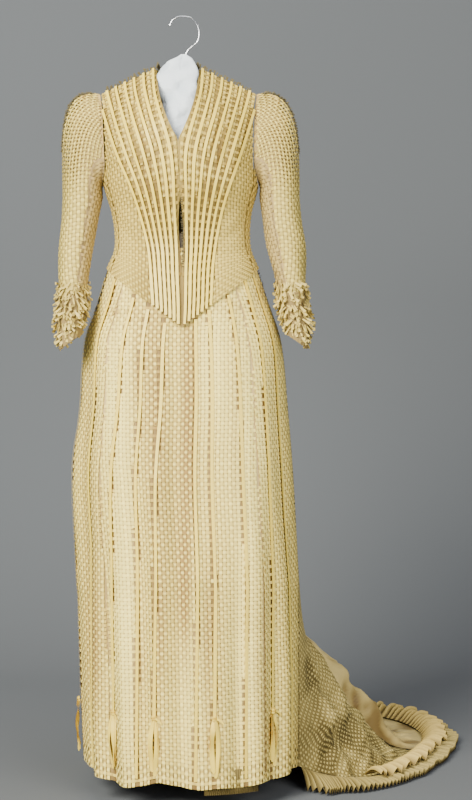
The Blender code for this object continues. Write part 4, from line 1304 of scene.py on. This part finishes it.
def skirtCloth(angle, share, lift=0.0):
    down = skirtPoint(angle, share + 0.004) - skirtPoint(angle, share - 0.004)
    over = skirtPoint(angle + 0.5, share) - skirtPoint(angle - 0.5, share)
    out = unit(np.cross(down, over))
    points = skirtPoint(angle, share)
    crush, low = skirt["crushed"], skirt["hemDip"]
    swept = ease((share - crush["from"]) / crush["over"]) * ease((1.0 - share) / crush["hemOver"])
    swept = swept * ease((angle - crush["angle"]) / crush["angleOver"])
    lift = lift * ease((1.0 - share) / 0.04) if np.ndim(lift) else lift
    crushed = sum(crumple(points, c["seed"], c["spacing"]) * c["height"] for c in crumples)
    points = points + out * (foldHeight(angle, share) + swept * crushed + lift)[..., None]
    hem = np.where(angle < 84, smooth(skirt["hemLine"], "angle", "rise", np.clip(angle, -100, 84)), 0)
    points[..., 2] += hem * ease((share - low["from"]) / low["over"])
    points[..., 2] = np.maximum(points[..., 2], skirt["offFloor"] - floorDrop)
    return points, out


# the angle at a share of a panel's width and length
def panelAngle(name, s, t):
    topFirst, topLast, lowFirst, lowLast = skirt["panels"][name]
    lower = ease(t)
    first, last = topFirst + (lowFirst - topFirst) * lower, topLast + (lowLast - topLast) * lower
    return first + (last - first) * s


def skirtPanel(name):
    def surface(s, t):
        return skirtCloth(panelAngle(name, s, t), np.asarray(t, float))[0]

    return surface


def shareAt(drop):
    upper = (drop - skirt["top"]) / (skirt["knee"] - skirt["top"]) * skirt["kneeShare"]
    hem = floorDrop - skirt["hemRise"]
    lower = skirt["kneeShare"] + (1 - skirt["kneeShare"]) * (drop - skirt["knee"]) / (hem - skirt["knee"])
    return np.where(drop < skirt["knee"], upper, lower)


def skirtRibbonEnd(k):
    return skirt["knot"] if skirt["ribbons"]["loop"][k] else skirt["ribbonEnd"]


def skirtRibbonAngle(k, drop):
    top, low = skirt["ribbons"]["top"][k], skirt["ribbons"]["low"][k]
    return top + (low - top) * (drop - skirt["top"]) / (skirtRibbonEnd(k) - skirt["top"])


# where a panel's rows cross the skirt's ribbons, so that the net opens into slots beside them
def addSkirtLines(name, lay):
    first, last, _, _ = skirt["panels"][name]
    drops = -lay["points"][:, len(lay["share"]) // 2, 2]
    for k in range(len(skirt["ribbons"]["top"])):
        share = (skirtRibbonAngle(k, drops) - first) / (last - first)
        if share.min() > -0.02 and share.max() < 1.02:
            line = [np.interp(x, lay["share"], a) for x, a in zip(share, lay["across"])]
            lay["slotScale"][len(lay["lines"])] = skirt["slotScale"][k]
            lay["lines"].append(np.array(line))


def addSkirtRibbon(k):
    loop, end = skirt["ribbons"]["loop"][k], skirtRibbonEnd(k)
    reach = abs(float(roundForm(np.array(skirt["ribbons"]["top"][k]), np.array(0.5))[0]))
    start = max(skirt["basquePoint"] + 0.008 - reach * (skirt["basquePoint"] - 0.4765) / 0.132, 0.486)
    drops = np.linspace(start, end, 120)
    middle, out = skirtCloth(skirtRibbonAngle(k, drops), shareAt(drops), skirt["ribbonLift"])
    name = f"skirt_ribbon_{k + 1}"
    extra = [addKnot(name, middle[-1], out[-1], loop, 300 + k)] if loop else []
    piece = ribbon(f"{name}_silk", middle, out, skirt["ribbonWidth"], 200 + k)
    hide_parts(name)
    return [piece, *extra]


# a knot with two long loops below it and a short tail: half widths of its strips, how the loops hang
knot = {
    "loop": 0.0036,
    "tail": 0.0022,
    "wrap": 0.0026,
    "behind": 0.0018,
    "loops": ((-0.0034, 1.0, -0.0024), (0.0036, 0.92, 0.0018)),  # sideways, reach, lean
}


def addKnot(name, at, out, length, seed):
    random = np.random.default_rng(seed)
    out = unit(out * (1, 1, 0))
    across = np.cross(out, up)
    strips = []
    for sideways, reach, lean in knot["loops"]:
        s = np.linspace(0, 1, 26)
        swing = sideways * np.sin(np.clip(s * 1.6, 0, 1) * math.pi / 2) + lean * np.sin(s * 4)
        down = -reach * length * s
        forward = 0.003 + 0.0035 * np.sin(s * math.pi) + 0.0012 * np.sin(s * 9 + random.uniform(0, 6))
        middle = at + across * swing[:, None] + out * forward[:, None] + up * down[:, None]
        twist = 0.5 * np.sin(s * random.uniform(4, 7) + random.uniform(0, 6))
        side = across * np.cos(twist)[:, None] + out * np.sin(twist)[:, None]
        half = knot["loop"] * (0.6 + 0.4 * np.clip(s * 6, 0, 1)) * np.where(s > 0.96, 0.5, 1)
        strips.append(stripEdges(middle, side, half[:, None]))
        back = middle - out * knot["behind"] + across * (sideways * 0.5)
        strips.append(stripEdges(back, side, half[:, None])[:-1])
    s = np.linspace(0, 1, 8)
    tail = at + across * (-0.016 * s)[:, None] + out * (0.004 + 0.003 * s)[:, None]
    tail = tail - up * (0.010 * s**2)[:, None]
    strips.append(stripEdges(tail, -up, knot["tail"]))
    for turn in (-0.5, 0.4):  # the knot's wraps
        a = np.linspace(-1.9, 1.9, 9)
        wrap = at + across * (np.sin(a) * 0.0046)[:, None] + up * (turn * np.sin(a) * 0.004)[:, None]
        wrap = wrap + out * (0.0010 + 0.0052 * np.cos(a * 0.8))[:, None]
        strips.append(stripEdges(wrap, -up, knot["wrap"]))
    return stripPiece(f"{name}_loops", strips, materials["silkRibbon"])


netPanels = ("skirt_side_left", "skirt_front", "skirt_side_right", "train_net_right", "train_net_left")
for number, name in enumerate(netPanels):
    if name.startswith("train"):
        looks = ("trainNet", "trainLining")
        lay = layLevel(skirtPanel(name), (0, 0), fromTop=True, size=skirt["trainSize"])
    else:
        looks = ("netCloth", "netLining")
        lay = layOut(skirtPanel(name))
        addSkirtLines(name, lay)
        lay["hemRows"] = skirt["hemRows"]
    first, last, _, _ = skirt["panels"][name]
    trims = []
    for k, top in enumerate(skirt["ribbons"]["top"]):
        if first <= top < last:
            trims += addSkirtRibbon(k)
    addNetPanel(name, lay, 60 + number, *looks, rests=("skirt_waistband",), trims=trims)
print("skirt dressed")


# plain cloth on a surface, with its own map
def plainPanel(name, points, look, shade):
    rows, columns = points.shape[:2]
    middle = points[:, columns // 2]
    across = np.stack([runAlong(row) for row in points])
    across = across - across[:, columns // 2 : columns // 2 + 1]
    down = np.broadcast_to(runAlong(middle)[:, None], across.shape)
    floats = {"shade": np.broadcast_to(shade, (rows, columns)).ravel()}
    quads = gridFaces(rows, columns)
    piece = meshPiece(name, points.reshape(-1, 3), quads, materials[look], floats, clothMaps(across, down))
    width = float(across[:, -1].max() - across[:, 0].min())
    length = float(down.max())
    area = float(np.mean(across[:, -1] - across[:, 0])) * length
    return piece, (width, length), min(area, 0.999 * width * length)


# satin panels at the back of the skirt and in the train, with soft creases
satin = {
    "rows": 220,
    "columns": 150,
    "creaseHeight": 0.0022,
    "foldDepth": 0.009,
    "steeper": 1.4,
    # angle and share at both ends, half width in degrees, height
    "creases": (
        (139, 0.64, 146, 0.90, 1.2, 0.008),
        (141, 0.72, 152, 0.86, 0.9, -0.009),
        (146, 0.76, 143, 0.95, 1.1, 0.009),
        (150, 0.70, 158, 0.88, 1.0, -0.010),
        (154, 0.82, 147, 0.94, 0.8, -0.009),
        (156, 0.74, 168, 0.90, 1.4, 0.011),
        (162, 0.84, 154, 0.96, 1.0, 0.008),
        (164, 0.78, 170, 0.95, 0.9, -0.009),
        (170, 0.72, 178, 0.92, 1.4, 0.009),
        (186, 0.74, 180, 0.95, 2.4, 0.010),
        (196, 0.70, 204, 0.94, 2.4, -0.009),
    ),
}


def satinPoints(name):
    s, t = np.meshgrid(np.linspace(0, 1, satin["columns"]), np.linspace(0, 1, satin["rows"]))
    angle = panelAngle(name, s, t)
    ripple = np.sin(angle * 0.9 + 3 * np.sin(t * 5)) + 0.6 * np.sin(angle * 2.3 + 5 * t + 1.0)
    ripple = ripple + 0.5 * np.sin(t * 60 + angle * 0.3) * ease((t - 0.6) * 4)
    lift = satin["creaseHeight"] * ripple * (0.2 + 0.8 * ease((t - 0.4) * 2))
    for angle0, share0, angle1, share1, wide, high in satin["creases"]:
        down = np.clip((t - share0) / (share1 - share0), 0, 1)
        off = np.abs(angle - (angle0 + (angle1 - angle0) * down)) / wide
        lift = lift + satin["steeper"] * high * np.exp(-(off**1.3)) * np.sin(math.pi * down) ** 0.6
    points = skirtCloth(angle, t, lift)[0]
    points = skirtCloth(angle, t, lift - satin["foldDepth"] * foldsAt(points))[0]
    # painted shade in the creases' troughs, together with the shade on cloth
    dark = np.clip(-lift / 0.006 - 0.15, 0, 1) * ease((t - 0.6) / 0.1) * ease((1 - t) / 0.05)
    return points, np.maximum(dark, shadeAt(points))


for name in ("train_satin_right", "train_satin_left"):
    points, dark = satinPoints(name)
    knee = int(satin["rows"] * skirt["kneeShare"])
    for node, kept in ((name.replace("train", "skirt"), slice(0, knee + 1)), (name, slice(knee, None))):
        piece, flat, area = plainPanel(f"{node}_cloth", points[kept], "trainSatin", dark[kept])
        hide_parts(node)

angles = np.linspace(0, 360, 97)
band = np.array([roundForm(angles, np.full(97, d), skirt["under"]) for d in (0.404, 0.412, 0.421, 0.4306)])
dim = np.exp(-((((angles + 180) % 360 - 180) / 12) ** 2))  # in the dark behind the front slit
piece, flat, area = plainPanel("skirt_waistband_cloth", band, "waistSatin", dim)
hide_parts("skirt_waistband")

# frills round the train: knife pleats on the floor, and a looser ruched one above them
frills = {
    "end": 0.80,
    "pleats": 190,
    "pleatDeep": 0.070,
    "ruches": 84,
    "rucheDeep": 0.046,
    "frontPleats": 30,
    "perPleat": 6,
    "crest": 0.62,  # where across a pleat its fold lies
    "pleatStart": 0.004,  # shares of the hem's length
    "rucheStart": 0.085,
    "pleatHigh": 0.0150,
    "pleatRise": 0.0065,
    "pleatArch": 0.004,
    "lying": 0.0008,
    "rucheHigh": 0.0240,
    "rucheWave": 0.0066,
    "rucheHump": 0.010,
    "frontAngles": (6, 38),
    "frontHigh": 0.030,
    "frontDeep": 0.046,
}


def trainHem():
    line = []
    for name in ("train_net_right", "train_satin_right", "train_satin_left", "train_net_left"):
        _, _, first, last = skirt["panels"][name]
        line.append(skirtCloth(np.linspace(first, last, 200), np.ones(200))[0])
    line = np.concatenate(line)
    return line[np.concatenate([[True], np.linalg.norm(np.diff(line, axis=0), axis=1) > 1e-4])]


def hemEdge(count, first, last):
    hem = trainHem()
    run = runAlong(hem)
    at = np.linspace(first, last, count) * run[-1]
    line = np.stack([np.interp(at, run, hem[:, k]) for k in range(3)], axis=1)
    way = np.gradient(line, axis=0)
    for _ in range(count // 12):
        way[1:-1] = (way[:-2] + way[1:-1] + way[2:]) / 3
    out = unit(np.stack([way[:, 1], -way[:, 0], 0 * way[:, 0]], axis=1))
    ends = ease(np.minimum(np.arange(count), np.arange(count)[::-1]) / (count / 50))
    return line, out, ends[:, None], at


# how far each of the points round a pleated edge lies out, from 0 to 1
def pleatFold(count, perPleat):
    phase, crest = (np.arange(count) % perPleat) / perPleat, frills["crest"]
    return np.where(phase < crest, phase / crest, (1 - phase) / (1 - crest))


def addPleatedFrill():
    perPleat = frills["perPleat"]
    count = frills["pleats"] * perPleat + 1
    line, out, ends, at = hemEdge(count, frills["pleatStart"], frills["end"])
    random = np.random.default_rng(81)
    fold = pleatFold(count, perPleat)[:, None]
    each = np.repeat(random.uniform(0.7, 1.25, frills["pleats"] + 1), perPleat)[:count, None]
    wander = np.interp(at, np.linspace(0, at[-1], 40), random.uniform(0.90, 1.06, 40))[:, None]
    floor = line * (1, 1, 0) - up * floorDrop
    start = line + out * 0.0021
    tip = floor + out * (frills["pleatDeep"] * wander * (0.45 + 0.55 * ends))
    tip = tip + up * (0.0030 + frills["pleatHigh"] * fold * each)
    rows = []
    for s in np.linspace(0, 1, 9):
        height = frills["pleatRise"] * fold * each * math.sin(s * math.pi / 2) * (1 - s)
        arch = frills["pleatArch"] * math.sin(s * math.pi)
        rows.append(start * (1 - s) + tip * s + up * (height + arch))
    points = np.array(rows)
    points[..., 2] = np.maximum(points[..., 2], frills["lying"] - floorDrop)
    # painted shade in the pleats' valleys, deeper towards the frill's outer edge
    dark = np.clip(1.15 - 1.5 * fold[:, 0], 0, 1) * (0.7 + 0.3 * np.linspace(0, 1, 9)[:, None])
    piece, flat, area = plainPanel("train_frill_pleated_net", points, "frillNet", dark)
    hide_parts("train_frill_pleated")


def addRuchedFrill():
    count = frills["ruches"] * 18 + 1
    line, out, ends, at = hemEdge(count, frills["rucheStart"], frills["end"] - 0.01)
    random = np.random.default_rng(82)
    turn = np.linspace(0, frills["ruches"], count)
    wave = np.sin(2 * math.pi * turn + 0.8 * np.sin(turn * 1.9))[:, None]
    small = np.sin(2 * math.pi * turn * 0.37 + 1.0)[:, None]
    wander = np.interp(at, np.linspace(0, at[-1], 24), random.uniform(0.85, 1.08, 24))[:, None]
    start = line - out * 0.0030 + up * 0.0040
    high = frills["rucheHigh"] + frills["rucheWave"] * wave + 0.0030 * small - floorDrop
    tip = line * (1, 1, 0) + out * (frills["rucheDeep"] * wander + 0.003 * small) + up * high
    rows = []
    for s in np.linspace(0, 1, 13):
        hump = up * (frills["rucheHump"] + 0.0035 * wave) * math.sin(s * math.pi)
        rows.append(start * (1 - s) + tip * s + hump + out * (0.003 * small * s))
    # painted shade in the ruches' hollows, lighter towards the frill's outer edge
    dark = np.clip(0.55 - 0.75 * wave[:, 0], 0, 1) * (1 - 0.35 * np.linspace(0, 1, 13)[:, None])
    piece, flat, area = plainPanel("train_frill_ruched_net", np.array(rows), "rucheNet", dark)
    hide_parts("train_frill_ruched")


def addFrontFrill():
    count = frills["frontPleats"] * frills["perPleat"] + 1
    angle = np.linspace(*frills["frontAngles"], count)
    fold = pleatFold(count, frills["perPleat"])
    hem = floorDrop - skirt["hemRise"]
    rows = []
    for s in np.linspace(0, 1, 8):
        drop = np.full(count, hem - frills["frontHigh"] + frills["frontDeep"] * s)
        points = roundForm(angle, drop, skirt["under"] - 0.0045 - 0.003 * s)
        points[:, 1] += 0.0060 * (fold - 0.5) * s
        rows.append(points)
    # painted shade in the pleats' hollows
    dark = 0.9 - 0.8 * fold
    piece, flat, area = plainPanel("front_under_frill_net", np.array(rows), "frillNet", dark)
    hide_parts("front_under_frill")


addPleatedFrill()
addRuchedFrill()
addFrontFrill()
print("train dressed")

# looped edgings: small loops of net along a line
edging = {"step": 0.0046, "length": 0.0080, "width": 0.0036, "stand": 0.0036}


def loopsAlong(line, out, away, seed, look):
    random = np.random.default_rng(seed)
    run = runAlong(line)
    strips = []
    for at in np.arange(0, run[-1], look["step"]):
        at = at + random.uniform(-0.3, 0.3) * look["step"]
        root, o, u = (np.array([np.interp(at, run, values[:, k]) for k in range(3)])
                      for values in (line, out, away))
        length = look["length"] * random.uniform(0.7, 1.25)
        stand = look["stand"] * random.uniform(0.7, 1.4)
        width = look["width"] * random.uniform(0.8, 1.2)
        strips.append(loopStrip(root, unit(u), unit(o), length, stand, width, random.uniform(-0.5, 0.5), 7))
    return strips


# loops at the neck, shoulders and front slit, painted dark as trim in shade
def addNeckEdging():
    x = np.linspace(-1, 1, 60) * form["neckX"] * 0.98
    drop = np.interp(np.abs(x), [0, 0.026, form["neckX"]], [0.114, 0.105, 0.0945])
    line = bodicePoint(x, drop, 1) + (0, 0, 0.0012)
    out = np.tile([0, -1.0, 0], (60, 1))
    upright = np.tile(up, (60, 1))
    strips = loopsAlong(line, out, upright, 91, {**edging, "length": 0.0095})
    strips += loopsAlong(line + (0, 0.003, 0), -out, upright, 92, {**edging, "length": 0.0085})
    piece = stripPiece("neck_edging_loops", strips, materials["loopsInShade"])
    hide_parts("neck_edging")
    for side, label in ((-1, "left"), (1, "right")):
        x = np.linspace(form["neckX"], 0.136, 60)
        drop = form["neckDrop"] + (x - form["neckX"]) * form["shoulderSlope"]
        line = bodicePoint(side * x, drop, 1) + (0, -0.001, -0.001)
        out, away = np.tile([0, -1.0, 0], (60, 1)), np.tile([side * 0.3, 0, 1.0], (60, 1))
        strips = loopsAlong(line, out, away, 93 + side, edging)
        surface = sleevePanel(side, -sleeves["seam"], sleeves["seam"])
        for k, share in enumerate((0.46, 0.49, 0.52, 0.55)):
            t = np.linspace(0.02, 0.30, 30)
            line = surface(np.full(30, share), t)
            out = np.tile([side * 0.4, -0.5, 0.6], (30, 1))
            strips += loopsAlong(line, out, np.gradient(line, axis=0), 96 + k, {**edging, "length": 0.0055})
        if side > 0:  # the looped right edge of the front slit
            drop = np.linspace(0.338, 0.468, 40)
            line = bodicePoint(np.full(40, 0.0050), drop, -1) + (0, -0.001, 0)
            out, away = np.tile([-0.2, -1.0, 0], (40, 1)), np.tile([-1.0, -0.2, 0], (40, 1))
            strips += loopsAlong(line, out, away, 104, {**edging, "length": 0.0036, "width": 0.0026})
        stripPiece(f"shoulder_loops_{label}", strips, materials["loopsInShade"])


# looped edges at the hips, painted dark as shade where the basque stands off the skirt's sides
def addHipEdging():
    strips = []
    look = {**edging, "length": 0.0052, "stand": 0.0020, "step": 0.0026}
    lines = ((-86, 0.470, 0.560, 111), (-90, 0.480, 0.556, 112), (86, 0.470, 0.505, 113))
    for angle, first, last, seed in lines:
        drop = np.linspace(first, last, 40)
        points, out = skirtCloth(np.full(40, angle), shareAt(drop), -0.0012)
        strips += loopsAlong(points, out, np.gradient(-points, axis=0) + out * 0.0006, seed, look)
    stripPiece("hip_loops", strips, materials["hipLoopsInShade"])


addNeckEdging()
addHipEdging()

# the hanger: bright wire hook, a cloth-covered bar, and white tissue in the neck
hanger = {
    "wire": 0.0014,
    "hook": (
        (-0.021, 0.0150), (-0.0150, 0.0045), (-0.0050, -0.0008), (0.0060, -0.0014),
        (0.0175, 0.0005), (0.0270, 0.0090), (0.0325, 0.0210), (0.0335, 0.0340),
        (0.0305, 0.0450), (0.0210, 0.0540), (0.0125, 0.0620), (0.0080, 0.0720), (0.0040, 0.0958),
    ),
    "bar": (
        (-0.128, 0.1565), (-0.085, 0.1352), (-0.040, 0.1148), (0.000, 0.1046),
        (0.040, 0.1148), (0.085, 0.1352), (0.128, 0.1565),
    ),
    "barRadius": 0.0085,
    "padding": table(
        "drop left right front back",
        (0.070, 0.000, 0.010, -0.018, -0.0125),
        (0.078, -0.016, 0.021, -0.025, -0.011),
        (0.090, -0.037, 0.029, -0.029, -0.0105),
        (0.103, -0.045, 0.031, -0.0325, -0.0091),
        (0.118, -0.043, 0.033, -0.0355, -0.0092),
        (0.140, -0.040, 0.034, -0.0455, -0.014),
        (0.170, -0.034, 0.032, -0.0625, -0.020),
        (0.200, -0.028, 0.026, -0.0778, -0.034),
        (0.230, -0.018, 0.016, -0.0875, -0.056),
        (0.250, -0.009, 0.007, -0.0895, -0.072),
    ),
}


# round wire along places given as x and drop
def roundWire(name, route, radius, look):
    curve = bpy.data.curves.new(name, "CURVE")
    curve.dimensions = "3D"
    curve.bevel_depth = radius
    curve.bevel_resolution = 4
    curve.use_fill_caps = True
    curve.resolution_u = 10
    spline = curve.splines.new("BEZIER")
    spline.bezier_points.add(len(route) - 1)
    for point, (x, drop) in zip(spline.bezier_points, route):
        point.co = (x, 0, -drop)
        point.handle_left_type = point.handle_right_type = "AUTO"
    curve.materials.append(materials[look])
    piece = bpy.data.objects.new(name, curve)
    bpy.context.scene.collection.objects.link(piece)
    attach(piece, "root")
    return piece


def addPadding():
    rows = hanger["padding"]
    around, levels = 160, 150
    a = np.linspace(0, 2 * math.pi, around + 1)[:-1]
    drops = np.linspace(rows["drop"][0], rows["drop"][-1], levels)
    sides = ("left", "right", "front", "back")
    left, right, front, back = (smooth(rows, "drop", k, drops)[:, None] for k in sides)
    x = (left + right) / 2 + (right - left) / 2 * np.sign(np.cos(a)) * np.abs(np.cos(a)) ** 0.8
    y = (front + back) / 2 + (front - back) / 2 * np.sign(np.sin(a)) * np.abs(np.sin(a)) ** 0.8
    z = np.broadcast_to(-drops[:, None], x.shape)
    points = np.stack([x, y, z], axis=-1)
    creases = crumple(points * (1, 1, 0.55), 97, (0.018, 0.05), 16)
    creases = (creases - creases.mean()) / creases.std()
    inward = np.stack([-(x - (left + right) / 2), -(y - (front + back) / 2), 0 * x], axis=-1)
    points = points + unit(inward) * (0.0014 + 0.0030 * np.clip(creases, -1.2, 1.6))[..., None]
    quads = gridFaces(levels, around, closed=True)
    shade = {"shade": np.clip(creases * 0.15, 0, 0.4).ravel()}
    maps = {"threads": pairs(a[None] * 0.03, drops[:, None])}
    points, material = points.reshape(-1, 3), materials["whiteTissue"]
    piece = meshPiece("neck_padding_tissue", points, quads, material, shade, maps)
    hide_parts("neck_padding")


piece = roundWire("hanger_hook_wire", hanger["hook"], hanger["wire"], "brightWire")
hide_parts("hanger_hook")
piece = roundWire("hanger_bar_cover", hanger["bar"], hanger["barRadius"], "whiteTissue")
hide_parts("hanger_bar")
addPadding()
print("hanger dressed")

# a plain pale floor that rises softly into the backdrop, and soft studio light
studio = {
    "floorColour": (0.107, 0.114, 0.122),
    "wallAt": 1.9,
    "bend": 0.9,
    "half": 7.0,
    "front": -7.0,
    "high": 5.0,
    "air": (0.72, 0.76, 0.84),
    "airStrength": 0.35,
}


def addStudio():
    bend, start = studio["bend"], studio["wallAt"] - studio["bend"]
    profile = [(studio["front"], 0.0), (start, 0.0)]
    for a in np.linspace(0, math.pi / 2, 17)[1:]:
        profile.append((start + bend * math.sin(a), bend * (1 - math.cos(a))))
    profile.append((studio["wallAt"], studio["high"]))
    ends = (-studio["half"], studio["half"])
    points = np.array([[(x, y, z - floorDrop) for x in ends] for y, z in profile])
    mesh = bpy.data.meshes.new("floor")
    mesh.from_pydata(points.reshape(-1, 3).tolist(), [], gridFaces(len(profile), 2).tolist())
    mesh.shade_smooth()
    material = bpy.data.materials.new("paleFloor")
    material.use_nodes = True
    shader = material.node_tree.nodes["Principled BSDF"]
    shader.inputs["Base Color"].default_value = (*studio["floorColour"], 1)
    shader.inputs["Roughness"].default_value = 0.9
    nodes, links = material.node_tree.nodes, material.node_tree.links
    behind = nodes.new("ShaderNodeNewGeometry").outputs["Backfacing"]
    clear = nodes.new("ShaderNodeBsdfTransparent").outputs["BSDF"]
    # from behind, the backdrop doesn't hide the dress
    mix = addNode(nodes, links, "ShaderNodeMixShader", {"Fac": behind, 1: clear, 2: shader.outputs["BSDF"]})
    links.new(mix.outputs["Shader"], nodes["Material Output"].inputs["Surface"])
    mesh.materials.append(material)
    floor = bpy.data.objects.new("floor", mesh)
    bpy.context.scene.collection.objects.link(floor)
    world = bpy.data.worlds.new("studio")
    world.use_nodes = True
    air = world.node_tree.nodes["Background"]
    air.inputs["Color"].default_value = (*studio["air"], 1)
    air.inputs["Strength"].default_value = studio["airStrength"]
    bpy.context.scene.world = world


def addLight(name, at, towards, size, power, colour):
    light = bpy.data.lights.new(name, "AREA")
    light.shape = "RECTANGLE"
    light.size, light.size_y = size
    light.energy = power
    light.color = colour
    holder = bpy.data.objects.new(name, light)
    holder.location = at
    way = np.array(towards) - np.array(at)
    flat = math.hypot(way[0], way[1])
    holder.rotation_euler = (math.pi / 2 - math.atan2(-way[2], flat), 0, math.atan2(-way[0], way[1]))
    bpy.context.scene.collection.objects.link(holder)


lights = {
    "key": {"at": (-1.9, -3.2, 1.2), "towards": (0, 0, -0.75), "size": (1.7, 2.0), "power": 480,
            "colour": (1.0, 0.98, 0.87)},
    "fill": {"at": (1.9, -3.3, 0.0), "towards": (0.1, 0, -0.9), "size": (1.8, 2.2), "power": 125,
             "colour": (1.0, 0.99, 0.95)},
    "overhead": {"at": (0.2, -0.5, 2.2), "towards": (0.1, 0.1, -0.8), "size": (2.0, 1.6), "power": 42,
                 "colour": (1.0, 1.0, 1.0)},
    "wall": {"at": (-0.8, 0.5, -0.1), "towards": (-0.9, 1.9, -0.45), "size": (0.8, 0.8), "power": 8,
             "colour": (0.97, 0.99, 1.0)},
}
addStudio()
for name, light in lights.items():
    addLight(name, **light)
print("studio lit")
